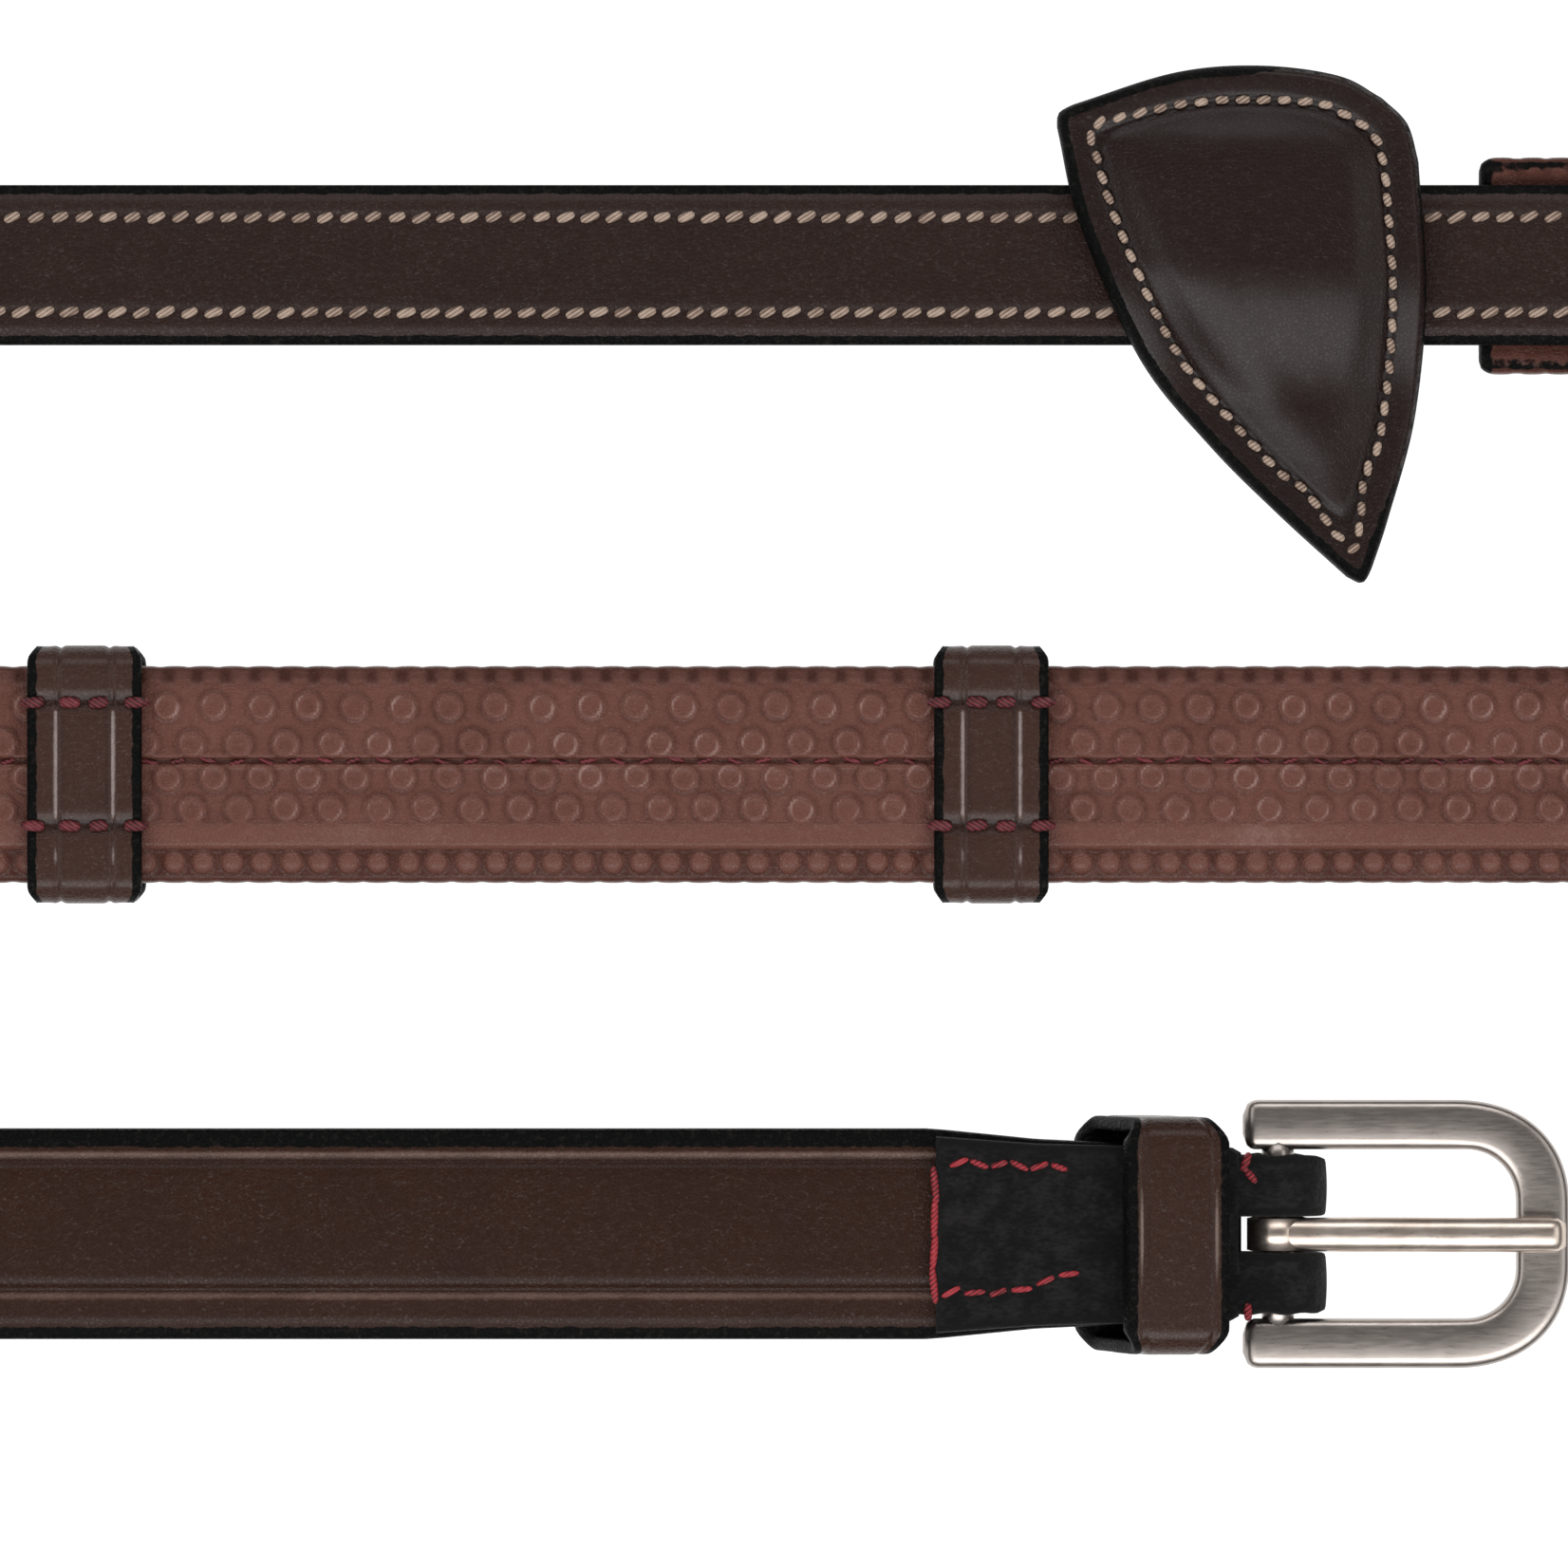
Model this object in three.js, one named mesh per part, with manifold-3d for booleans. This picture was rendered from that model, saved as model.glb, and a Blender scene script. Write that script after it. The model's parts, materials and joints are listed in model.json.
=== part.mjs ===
// The buckle half of a pair of leather riding reins, laid out in an S of three flat rows:
// the cheek part with its rein stop (front up), the padded grip (back up) and the hand part with
// its buckle (front up). Between rows the rein stands on edge and turns round.
// Millimetres, +Z up. The origin is on the table under the middle of hand stop 3.

import * as THREE from 'three';
import { mergeVertices } from 'three/addons/utils/BufferGeometryUtils.js';
import Module from 'manifold-3d';

const wasm = await Module();
wasm.setup();

// ---------- driving dimensions ----------

const GAP = 0.3; // clearance kept between pieces that are sewn together
const LOOSE = 0.5; // clearance between a loop and what it goes round

const STRAP_WIDTH = 16;
const STRAP_LAYER = 1.7;
const LINING_LAYER = 1.4;
const GRIP_WIDTH = 21.5;
const GRIP_DEPTH = 4.4;
const COVER_WALL = 1.1;
const HAND_WIDTH = 21.1;
const HAND_DEPTH = 3.2;

const TOP_ROW_Y = 50.8;
const MIDDLE_ROW_Y = 0;
const BOTTOM_ROW_Y = -45.9;
const RIGHT_TURN_X = 115.7;
const LEFT_TURN_X = -299.3;
const TWIST_LENGTH = 55; // straight run in which the rein rolls a quarter turn on to its edge

const GRIP_START_X = 48.8; // on the top row
const GRIP_LENGTH = 700;
const STOP_COUNT = 7;
const STOP_PITCH = 90.3;
const ORIGIN_STOP = 3; // this stop lies at x = 0 on the middle row
const STOP_BAND = 11.4; // along the rein
const STOP_HEIGHT = 25.5; // across the rein
const STOP_WALL = STOP_HEIGHT / 2 - GRIP_WIDTH / 2 - LOOSE;

const TAIL_LAP = 25; // the front strap runs on over the hand part by this much

// ---------- levels, measured from the back of the cheek part towards its front ----------

const LINING_TOP = LINING_LAYER;
const STRAP_BACK = LINING_TOP + GAP;
const STRAP_FRONT = STRAP_BACK + STRAP_LAYER;
const GRIP_BACK = LINING_TOP - GRIP_DEPTH;
const HAND_BACK = LINING_TOP - HAND_DEPTH;
const STOP_FRONT = STRAP_FRONT + LOOSE + STOP_WALL;
const ROW_HEIGHT = STOP_FRONT; // the grip lies face down on its hand stops
const EDGE_HEIGHT = STOP_HEIGHT / 2 + 0.15; // centre line where the rein stands on edge

// ---------- the path of the rein ----------

const ROW_LENGTH = RIGHT_TURN_X - LEFT_TURN_X;
const RIGHT_RADIUS = (TOP_ROW_Y - MIDDLE_ROW_Y) / 2;
const LEFT_RADIUS = (MIDDLE_ROW_Y - BOTTOM_ROW_Y) / 2;
const RIGHT_TURN_AT = ROW_LENGTH;
const MIDDLE_ROW_AT = RIGHT_TURN_AT + Math.PI * RIGHT_RADIUS;
const LEFT_TURN_AT = MIDDLE_ROW_AT + ROW_LENGTH;
const BOTTOM_ROW_AT = LEFT_TURN_AT + Math.PI * LEFT_RADIUS;
const RIGHT_APEX = (RIGHT_TURN_AT + MIDDLE_ROW_AT) / 2;
const LEFT_APEX = (LEFT_TURN_AT + BOTTOM_ROW_AT) / 2;
const GRIP_AT = GRIP_START_X - LEFT_TURN_X;
const GRIP_END = GRIP_AT + GRIP_LENGTH;
const GRIP_END_X = LEFT_TURN_X + GRIP_END - BOTTOM_ROW_AT;

const EASE = 0.2; // share of the twist used to start, and again to stop, turning

/** Goes from 0 to 1 at an even rate, with a soft start and a soft stop. */
function easeTwist(t) {
  const u = THREE.MathUtils.clamp(t, 0, 1);
  const soft = 2 * EASE * (1 - EASE);
  if (u < EASE) return (u * u) / soft;
  if (u > 1 - EASE) return 1 - ((1 - u) * (1 - u)) / soft;
  return (u - EASE / 2) / (1 - EASE);
}

/** Where the centre line is at path length s, which way it heads, and how far the rein has rolled. */
function centreAt(s) {
  const quarter = Math.PI / 2;
  if (s < RIGHT_TURN_AT) {
    const roll = -quarter * easeTwist((s - RIGHT_TURN_AT + TWIST_LENGTH) / TWIST_LENGTH);
    return { x: LEFT_TURN_X + s, y: TOP_ROW_Y, heading: 0, roll };
  }
  if (s < MIDDLE_ROW_AT) {
    const a = (s - RIGHT_TURN_AT) / RIGHT_RADIUS;
    const x = RIGHT_TURN_X + RIGHT_RADIUS * Math.sin(a);
    const y = (TOP_ROW_Y + MIDDLE_ROW_Y) / 2 + RIGHT_RADIUS * Math.cos(a);
    return { x, y, heading: -a, roll: -quarter };
  }
  if (s < LEFT_TURN_AT) {
    const d = s - MIDDLE_ROW_AT;
    const flat = easeTwist(d / TWIST_LENGTH) - easeTwist((d - ROW_LENGTH + TWIST_LENGTH) / TWIST_LENGTH);
    return { x: RIGHT_TURN_X - d, y: MIDDLE_ROW_Y, heading: -Math.PI, roll: -quarter * (1 + flat) };
  }
  if (s < BOTTOM_ROW_AT) {
    const a = (s - LEFT_TURN_AT) / LEFT_RADIUS;
    const x = LEFT_TURN_X - LEFT_RADIUS * Math.sin(a);
    const y = (MIDDLE_ROW_Y + BOTTOM_ROW_Y) / 2 + LEFT_RADIUS * Math.cos(a);
    return { x, y, heading: a - Math.PI, roll: -quarter };
  }
  const d = s - BOTTOM_ROW_AT;
  return { x: LEFT_TURN_X + d, y: BOTTOM_ROW_Y, heading: 0, roll: -quarter * (1 - easeTwist(d / TWIST_LENGTH)) };
}

/** Takes a point (s along the rein, v across it, n from its back towards its front) to its place. */
function layPoint(s, v, n) {
  const { x, y, heading, roll } = centreAt(s);
  const side = v * Math.cos(roll) - n * Math.sin(roll);
  const rise = v * Math.sin(roll) + n * Math.cos(roll);
  const centre = EDGE_HEIGHT * Math.abs(Math.sin(roll)) + ROW_HEIGHT * Math.abs(Math.cos(roll));
  return new THREE.Vector3(x - side * Math.sin(heading), y + side * Math.cos(heading), centre + rise);
}

/** Path lengths at which every swept piece gets a ring of points, so that layers stay parallel. */
function ringPlaces() {
  const twistSteps = 11;
  const turnSteps = 16;
  const places = [];
  const spread = (from, to, steps) => {
    for (let i = 0; i <= steps; i += 1) places.push(from + ((to - from) * i) / steps);
  };
  spread(RIGHT_TURN_AT - TWIST_LENGTH, RIGHT_TURN_AT, twistSteps);
  spread(RIGHT_TURN_AT, MIDDLE_ROW_AT, turnSteps);
  spread(MIDDLE_ROW_AT, MIDDLE_ROW_AT + TWIST_LENGTH, twistSteps);
  spread(LEFT_TURN_AT - TWIST_LENGTH, LEFT_TURN_AT, twistSteps);
  spread(LEFT_TURN_AT, BOTTOM_ROW_AT, turnSteps);
  spread(BOTTOM_ROW_AT, BOTTOM_ROW_AT + TWIST_LENGTH, twistSteps);
  return places;
}

const RINGS = ringPlaces();

/** The piece's two ends and the shared rings between them. */
function stationsBetween(from, to) {
  const nearest = 0.5;
  const inner = RINGS.filter((s, i) => s > from + nearest && s < to - nearest && s !== RINGS[i - 1]);
  return [from, ...inner, to];
}

// ---------- making geometry ----------

/**
 * Sweeps a section, drawn across (x) and through (y) the rein, along the path from one length to
 * another. Every wall is split along the same diagonal, so that neighbouring layers keep their gap.
 */
function sweep(section, from, to) {
  const { shape: outline, holes } = section.extractPoints(4);
  const faces = THREE.ShapeUtils.triangulateShape(outline, holes);
  const loops = [outline, ...holes];
  const points = loops.flat();
  const stations = stationsBetween(from, to);
  const positions = stations.flatMap((s) => points.flatMap((p) => layPoint(s, p.x, p.y).toArray()));
  const index = [];
  const ring = points.length;
  let first = 0;
  for (const loop of loops) {
    for (let k = 0; k < loop.length; k += 1) {
      const next = (k + 1) % loop.length;
      const sameWay = loop[next].x > loop[k].x;
      for (let i = 0; i + 1 < stations.length; i += 1) {
        const a = i * ring + first + k;
        const b = i * ring + first + next;
        const c = b + ring;
        const d = a + ring;
        index.push(...(sameWay ? [a, b, c, a, c, d] : [a, b, d, b, c, d]));
      }
    }
    first += loop.length;
  }
  const lastRing = (stations.length - 1) * ring;
  for (const [a, b, c] of faces) {
    index.push(a, c, b);
    index.push(lastRing + a, lastRing + b, lastRing + c);
  }
  const geometry = new THREE.BufferGeometry();
  geometry.setAttribute('position', new THREE.Float32BufferAttribute(positions, 3));
  geometry.setIndex(index);
  return geometry;
}

/** A shape through corner points given as [x, y] pairs, anticlockwise. */
function polygon(corners) {
  return new THREE.Shape(corners.map(([x, y]) => new THREE.Vector2(x, y)));
}

/** A flat rectangular section with extra points across it on the front and on the back. */
function flatSection(width, back, front, frontPoints = [0], backPoints = [0]) {
  const half = width / 2;
  const backRun = [-half, ...backPoints, half].map((v) => [v, back]);
  const frontRun = [half, ...[...frontPoints].reverse(), -half].map((v) => [v, front]);
  return polygon([...backRun, ...frontRun]);
}

/** A rectangular ring section for a loop of leather of the given wall. */
function loopSection(innerWidth, innerBack, innerFront, wall) {
  const section = flatSection(innerWidth + 2 * wall, innerBack - wall, innerFront + wall);
  const opening = flatSection(innerWidth, innerBack, innerFront).getPoints();
  section.holes.push(new THREE.Path([...opening].reverse()));
  return section;
}

/** Extrudes a shape drawn in side view (along, through) by a width across the rein, centred. */
function sideExtrude(shape, width, curveSegments = 6) {
  const geometry = new THREE.ExtrudeGeometry(shape, { depth: width, bevelEnabled: false, curveSegments });
  geometry.rotateX(Math.PI / 2);
  geometry.translate(0, width / 2, 0);
  return geometry;
}

/** Extrudes a shape drawn in plan (along, across) from one level to another. */
function planExtrude(shape, low, high, curveSegments = 6) {
  const depth = high - low;
  const geometry = new THREE.ExtrudeGeometry(shape, { depth, bevelEnabled: false, curveSegments });
  geometry.translate(0, 0, low);
  return geometry;
}

/** The outline of a band of even thickness that follows a line of points. */
function bandOutline(line, thickness) {
  const left = [];
  const right = [];
  line.forEach((point, i) => {
    const before = line[Math.max(i - 1, 0)];
    const after = line[Math.min(i + 1, line.length - 1)];
    const along = after.clone().sub(before).normalize();
    const out = new THREE.Vector2(-along.y, along.x).multiplyScalar(thickness / 2);
    left.push(point.clone().add(out));
    right.push(point.clone().sub(out));
  });
  return new THREE.Shape([...right, ...left.reverse()]);
}

/** Turns a closed geometry into a solid that can be joined and cut. */
function toSolid(geometry) {
  const bare = geometry.clone();
  bare.deleteAttribute('normal');
  bare.deleteAttribute('uv');
  const welded = mergeVertices(bare, 1e-4);
  const vertProperties = new Float32Array(welded.attributes.position.array);
  const triVerts = new Uint32Array(welded.index.array);
  return new wasm.Manifold(new wasm.Mesh({ numProp: 3, vertProperties, triVerts }));
}

/** Turns a solid back into a geometry. */
function fromSolid(solid) {
  const mesh = solid.getMesh();
  const geometry = new THREE.BufferGeometry();
  geometry.setAttribute('position', new THREE.BufferAttribute(new Float32Array(mesh.vertProperties), 3));
  geometry.setIndex(new THREE.BufferAttribute(new Uint32Array(mesh.triVerts), 1));
  return geometry;
}

// ---------- materials and groups ----------

const LOOKS = {
  strapLeather: { color: 0x382a27, roughness: 0.5, metalness: 0 },
  liningLeather: { color: 0x2a1e1b, roughness: 0.75, metalness: 0 },
  gripLeather: { color: 0x6d483f, roughness: 0.55, metalness: 0 },
  gripRubber: { color: 0x1c1918, roughness: 0.9, metalness: 0 },
  bandLeather: { color: 0x4a2c27, roughness: 0.4, metalness: 0 },
  handLeather: { color: 0x38211a, roughness: 0.5, metalness: 0 },
  suedeLeather: { color: 0x232121, roughness: 0.9, metalness: 0 },
  steel: { color: 0xa09a95, roughness: 0.3, metalness: 1 },
};

const reins = new THREE.Group();

const topRow = new THREE.Group();
topRow.position.set(LEFT_TURN_X, TOP_ROW_Y, ROW_HEIGHT);
reins.add(topRow);

const bottomRow = new THREE.Group();
bottomRow.position.set(0, BOTTOM_ROW_Y, ROW_HEIGHT);
reins.add(bottomRow);

/** Adds one named piece with a material of its own. */
function addPiece(name, geometry, look, parent = reins) {
  const piece = new THREE.Mesh(geometry, new THREE.MeshStandardMaterial(LOOKS[look]));
  piece.name = name;
  parent.add(piece);
}

// ---------- the long layers: front strap, lining, grip cover and rubber core ----------

const APEX_GAP = 0.4; // between the two halves of a layer, at the top of each turn

/** The 16 mm front strap, from the bit end to its tail on the hand part, parted at each turn. */
function addFrontStrap() {
  const section = flatSection(STRAP_WIDTH, STRAP_BACK, STRAP_FRONT);
  addPiece('cheek_strap', sweep(section, 0, RIGHT_APEX - APEX_GAP / 2), 'strapLeather');
  addPiece('grip_strap', sweep(section, RIGHT_APEX + APEX_GAP / 2, LEFT_APEX - APEX_GAP / 2), 'strapLeather');
  addPiece('tail_strap', sweep(section, LEFT_APEX + APEX_GAP / 2, GRIP_END + TAIL_LAP), 'strapLeather');
}

function addCheekLining() {
  const section = flatSection(STRAP_WIDTH, 0, LINING_TOP);
  addPiece('cheek_lining', sweep(section, 0, GRIP_AT - GAP), 'liningLeather');
}

/** The padded grip: a sleeve of leather round a strip of rubber. */
function addGrip() {
  const half = STRAP_WIDTH / 2;
  const sleeve = flatSection(GRIP_WIDTH, GRIP_BACK, LINING_TOP, [-half, 0, half]);
  const boreWidth = GRIP_WIDTH - 2 * COVER_WALL;
  const boreBack = GRIP_BACK + COVER_WALL;
  const boreFront = LINING_TOP - COVER_WALL;
  const bore = flatSection(boreWidth, boreBack, boreFront).getPoints();
  sleeve.holes.push(new THREE.Path([...bore].reverse()));
  const rubber = flatSection(boreWidth - 2 * GAP, boreBack + GAP, boreFront - GAP);
  const parts = [
    [GRIP_AT, RIGHT_APEX - APEX_GAP / 2],
    [RIGHT_APEX + APEX_GAP / 2, LEFT_APEX - APEX_GAP / 2],
    [LEFT_APEX + APEX_GAP / 2, GRIP_END],
  ];
  parts.forEach(([from, to], i) => {
    addPiece(`grip_cover_${i + 1}`, sweep(sleeve, from, to), 'gripLeather');
    addPiece(`grip_rubber_${i + 1}`, sweep(rubber, from, to), 'gripRubber');
  });
}

/** The leather loops that the hand rests against. */
function addHandStops() {
  const section = loopSection(GRIP_WIDTH + 2 * LOOSE, GRIP_BACK - LOOSE, STRAP_FRONT + LOOSE, STOP_WALL);
  const originAt = MIDDLE_ROW_AT + RIGHT_TURN_X;
  for (let i = 1; i <= STOP_COUNT; i += 1) {
    const middle = originAt + (i - ORIGIN_STOP) * STOP_PITCH;
    addPiece(`hand_stop_${i}`, sweep(section, middle - STOP_BAND / 2, middle + STOP_BAND / 2), 'bandLeather');
  }
}

// ---------- the bit end ----------

const BILLET_THICKNESS = 1.6;
const BILLET_WIDTH = 15.5;
const BILLET_SEWN = 60; // length of the leg sewn under the cheek part
const BILLET_RETURN = 110; // length of the leg that comes back from the bit ring
const UPPER_LEG = -GAP - BILLET_THICKNESS / 2;
const LOWER_LEG = UPPER_LEG - BILLET_THICKNESS - GAP;
const STUD_AT = 70;
const STUD_HOLE_RADIUS = 1.9;

/** The folded billet, with the loop that takes the bit ring and a hole for the hook stud. */
function addBillet() {
  const bend = 4.2;
  const bendAt = -16;
  const flareAt = -11;
  const loopMiddle = 1.2;
  const halfFlat = 1;
  const loopTop = loopMiddle + halfFlat + bend;
  const loopBottom = loopMiddle - halfFlat - bend;
  const line = new THREE.Path();
  line.moveTo(BILLET_SEWN, UPPER_LEG);
  line.lineTo(0, UPPER_LEG);
  line.bezierCurveTo(-4, UPPER_LEG, -6, loopTop, flareAt, loopTop);
  line.lineTo(bendAt, loopTop);
  line.absarc(bendAt, loopMiddle + halfFlat, bend, Math.PI / 2, Math.PI);
  line.absarc(bendAt, loopMiddle - halfFlat, bend, Math.PI, Math.PI * 1.5);
  line.lineTo(flareAt, loopBottom);
  line.bezierCurveTo(-6, loopBottom, -4, LOWER_LEG, 0, LOWER_LEG);
  line.lineTo(BILLET_RETURN, LOWER_LEG);
  const band = sideExtrude(bandOutline(line.getPoints(5), BILLET_THICKNESS), BILLET_WIDTH);
  const drill = new THREE.CylinderGeometry(STUD_HOLE_RADIUS, STUD_HOLE_RADIUS, 2 * BILLET_THICKNESS, 12);
  drill.rotateX(Math.PI / 2);
  drill.translate(STUD_AT, 0, LOWER_LEG);
  addPiece('bit_billet', fromSolid(toSolid(band).subtract(toSolid(drill))), 'strapLeather', topRow);
}

/** The stud that the billet's hole hooks over: plate, neck and button, turned on one axis. */
function addHookStud() {
  const plateRadius = 3.6;
  const neckRadius = 1.4;
  const buttonRadius = 3;
  const plateTop = -LOOSE;
  const plateBottom = UPPER_LEG - BILLET_THICKNESS / 2;
  const buttonTop = LOWER_LEG - BILLET_THICKNESS / 2 - GAP;
  const buttonBottom = buttonTop - 1.1;
  const profile = [
    [0, buttonBottom],
    [buttonRadius, buttonBottom],
    [buttonRadius, buttonTop],
    [neckRadius, buttonTop],
    [neckRadius, plateBottom],
    [plateRadius, plateBottom],
    [plateRadius, plateTop],
    [0, plateTop],
  ].map(([r, level]) => new THREE.Vector2(r, level));
  const stud = new THREE.LatheGeometry(profile, 16);
  stud.rotateX(Math.PI / 2);
  stud.translate(STUD_AT, 0, 0);
  addPiece('hook_stud', stud, 'steel', topRow);
}

/** The two loops that hold the billet: one sewn down, one that slides. */
function addBitKeepers() {
  const length = 10;
  const wall = 1.2;
  const fixedAt = 30;
  const runnerAt = 90;
  const back = LOWER_LEG - BILLET_THICKNESS / 2 - GAP;
  const section = loopSection(STRAP_WIDTH + 2 * LOOSE, back, STRAP_FRONT + GAP, wall);
  addPiece('bit_keeper_fixed', sweep(section, fixedAt, fixedAt + length), 'bandLeather');
  addPiece('bit_keeper_runner', sweep(section, runnerAt, runnerAt + length), 'bandLeather');
}

// ---------- the rein stop ----------

const REIN_STOP_X = 25.0;

/** The shield outline of the rein stop, about the point where it crosses the strap's centre. */
function shieldOutline() {
  const bend = (pairs) => pairs.map(([x, y]) => new THREE.Vector2(x, y));
  const shield = new THREE.Shape();
  shield.moveTo(-18.3, 13.6);
  shield.splineThru(bend([[-16, 3.9], [-10.1, -9.2], [-3.1, -17.9], [3.8, -24.8], [10.6, -31]]));
  shield.quadraticCurveTo(12.4, -32, 12.9, -30.2);
  shield.splineThru(bend([[14.6, -25], [17.2, -15.1], [18.2, -3], [17.4, 10.2]]));
  shield.quadraticCurveTo(16.8, 13.8, 13.8, 16.4);
  shield.splineThru(bend([[9.5, 18.6], [1.7, 19.6], [-6.7, 18.9], [-16.9, 15.7]]));
  shield.quadraticCurveTo(-18.6, 15.2, -18.3, 13.6);
  return shield;
}

/** Face, lining and the loop sewn behind them, which slides along the cheek part. */
function addReinStop() {
  const loopWall = 1.5;
  const loopHalf = 9;
  const liningThickness = 1.2;
  const faceThickness = 2;
  const liningBack = STRAP_FRONT + LOOSE;
  const liningFront = liningBack + liningThickness;
  const faceBack = liningFront + GAP;
  const faceFront = faceBack + faceThickness;
  const inner = STRAP_WIDTH / 2 + LOOSE;
  const outer = inner + loopWall;
  const stopX = REIN_STOP_X - LEFT_TURN_X;
  const loopTop = liningBack - GAP;
  const cradle = polygon([
    [-outer, -LOOSE - loopWall],
    [outer, -LOOSE - loopWall],
    [outer, loopTop],
    [inner, loopTop],
    [inner, -LOOSE],
    [-inner, -LOOSE],
    [-inner, loopTop],
    [-outer, loopTop],
  ]);
  const face = planExtrude(shieldOutline(), faceBack, faceFront, 4);
  const lining = planExtrude(shieldOutline(), liningBack, liningFront, 4);
  face.translate(stopX, 0, 0);
  lining.translate(stopX, 0, 0);
  addPiece('rein_stop_face', face, 'bandLeather', topRow);
  addPiece('rein_stop_lining', lining, 'liningLeather', topRow);
  addPiece('rein_stop_loop', sweep(cradle, stopX - loopHalf, stopX + loopHalf), 'liningLeather');
}

// ---------- the hand part and its buckle ----------

const TAPER_START_X = -5.5;
const HAND_END_X = 22;
const BAR_X = 28.7;
const BAR_LEVEL = -0.2;
const BAR_RADIUS = 1.6;
const CHAPE_THICKNESS = 1.5;
const CHAPE_HALF_WIDTH = 9.7; // where it starts, at the start of the taper
const TONGUE_WIDTH = 3.5;
const FRAME_LEFT_X = 25.2;
const FRAME_RIGHT_X = 57.8;
const FRAME_HALF_HEIGHT = 13.4;
const FRAME_THICKNESS = 3.4;
const ARM_WIDTH = 5.4;
const END_WIDTH = 5.1;

function addHandStrap() {
  const half = HAND_WIDTH / 2;
  const midTaperX = 4.5;
  const midTaperHalf = 9.5;
  const endHalf = 8.65;
  const start = GRIP_END_X + GAP;
  const edge = [[start, half], [TAPER_START_X, half], [midTaperX, midTaperHalf], [HAND_END_X, endHalf]];
  const mirrored = edge.map(([x, y]) => [x, -y]);
  const outline = polygon([...mirrored, ...[...edge].reverse()]);
  addPiece('hand_strap', planExtrude(outline, HAND_BACK, LINING_TOP), 'handLeather', bottomRow);
}

/** The leather folded round the buckle bar: as wide as the hand part, narrow between the arms. */
function addChape() {
  const slotWidth = 5;
  const slotStartX = 22.5;
  const neckStartX = 23.2;
  const neckX = 24.6;
  const neckHalf = 7.4;
  const topLevel = LINING_TOP + GAP + CHAPE_THICKNESS / 2;
  const bottomLevel = HAND_BACK - GAP - CHAPE_THICKNESS / 2;
  const bend = (topLevel - bottomLevel) / 2;
  const endX = BAR_X + bend + CHAPE_THICKNESS;
  const line = new THREE.Path();
  line.moveTo(TAPER_START_X, bottomLevel);
  line.lineTo(BAR_X, bottomLevel);
  line.absarc(BAR_X, BAR_LEVEL, bend, -Math.PI / 2, Math.PI / 2);
  line.lineTo(TAPER_START_X, topLevel);
  const fold = sideExtrude(bandOutline(line.getPoints(8), CHAPE_THICKNESS), 2 * HAND_WIDTH);
  const edge = [
    [TAPER_START_X - 1, CHAPE_HALF_WIDTH],
    [HAND_END_X, 8.3],
    [neckStartX, 8.1],
    [neckX, neckHalf],
    [endX, neckHalf],
  ];
  const plan = polygon([...edge.map(([x, y]) => [x, -y]), ...[...edge].reverse()]);
  const cutter = planExtrude(plan, BAR_LEVEL - 3 * bend, BAR_LEVEL + 3 * bend);
  const slot = new THREE.BoxGeometry(endX - slotStartX, slotWidth, 4 * bend);
  slot.translate((endX + slotStartX) / 2, 0, BAR_LEVEL);
  const chape = toSolid(fold).intersect(toSolid(cutter)).subtract(toSolid(slot));
  addPiece('buckle_chape', fromSolid(chape), 'suedeLeather', bottomRow);
}

/** The sewn keeper, tall enough to take the point of the other rein over the chape. */
function addBuckleKeeper() {
  const startX = 8.3;
  const endX = 24.2;
  const outerHalf = 11.8;
  const innerHalf = 10.3;
  const pointRoom = 3.2;
  const wall = outerHalf - innerHalf;
  const back = HAND_BACK - CHAPE_THICKNESS - 2 * GAP;
  const front = LINING_TOP + GAP + CHAPE_THICKNESS + pointRoom;
  const section = loopSection(2 * innerHalf, back, front, wall);
  const toPath = BOTTOM_ROW_AT - LEFT_TURN_X;
  addPiece('buckle_keeper', sweep(section, startX + toPath, endX + toPath), 'bandLeather');
}

/** The D-shaped frame: two arms, a round end and the bar that the chape goes round. */
function addBuckleFrame() {
  const corner = 2.5;
  const arcStartX = 46.5;
  const top = FRAME_HALF_HEIGHT;
  const innerTop = top - ARM_WIDTH;
  const innerRight = FRAME_RIGHT_X - END_WIDTH;
  const innerCorner = 5;
  const endHalf = 3;
  const d = new THREE.Shape();
  d.moveTo(FRAME_LEFT_X, innerTop);
  d.lineTo(FRAME_LEFT_X, top - corner);
  d.absarc(FRAME_LEFT_X + corner, top - corner, corner, Math.PI, Math.PI / 2, true);
  d.lineTo(arcStartX, top);
  d.bezierCurveTo(53.5, top, FRAME_RIGHT_X, 9.2, FRAME_RIGHT_X, endHalf);
  d.lineTo(FRAME_RIGHT_X, -endHalf);
  d.bezierCurveTo(FRAME_RIGHT_X, -9.2, 53.5, -top, arcStartX, -top);
  d.lineTo(FRAME_LEFT_X + corner, -top);
  d.absarc(FRAME_LEFT_X + corner, corner - top, corner, -Math.PI / 2, -Math.PI, true);
  d.lineTo(FRAME_LEFT_X, -innerTop);
  d.lineTo(innerRight - innerCorner, -innerTop);
  d.absarc(innerRight - innerCorner, innerCorner - innerTop, innerCorner, -Math.PI / 2, 0);
  d.lineTo(innerRight, innerTop - innerCorner);
  d.absarc(innerRight - innerCorner, innerTop - innerCorner, innerCorner, 0, Math.PI / 2);
  const half = FRAME_THICKNESS / 2;
  const plate = planExtrude(d, BAR_LEVEL - half, BAR_LEVEL + half);
  const bar = new THREE.CylinderGeometry(BAR_RADIUS, BAR_RADIUS, 2 * innerTop + 2, 16);
  bar.translate(BAR_X, 0, BAR_LEVEL);
  addPiece('buckle_frame', fromSolid(toSolid(plate).add(toSolid(bar))), 'steel', bottomRow);
}

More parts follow.
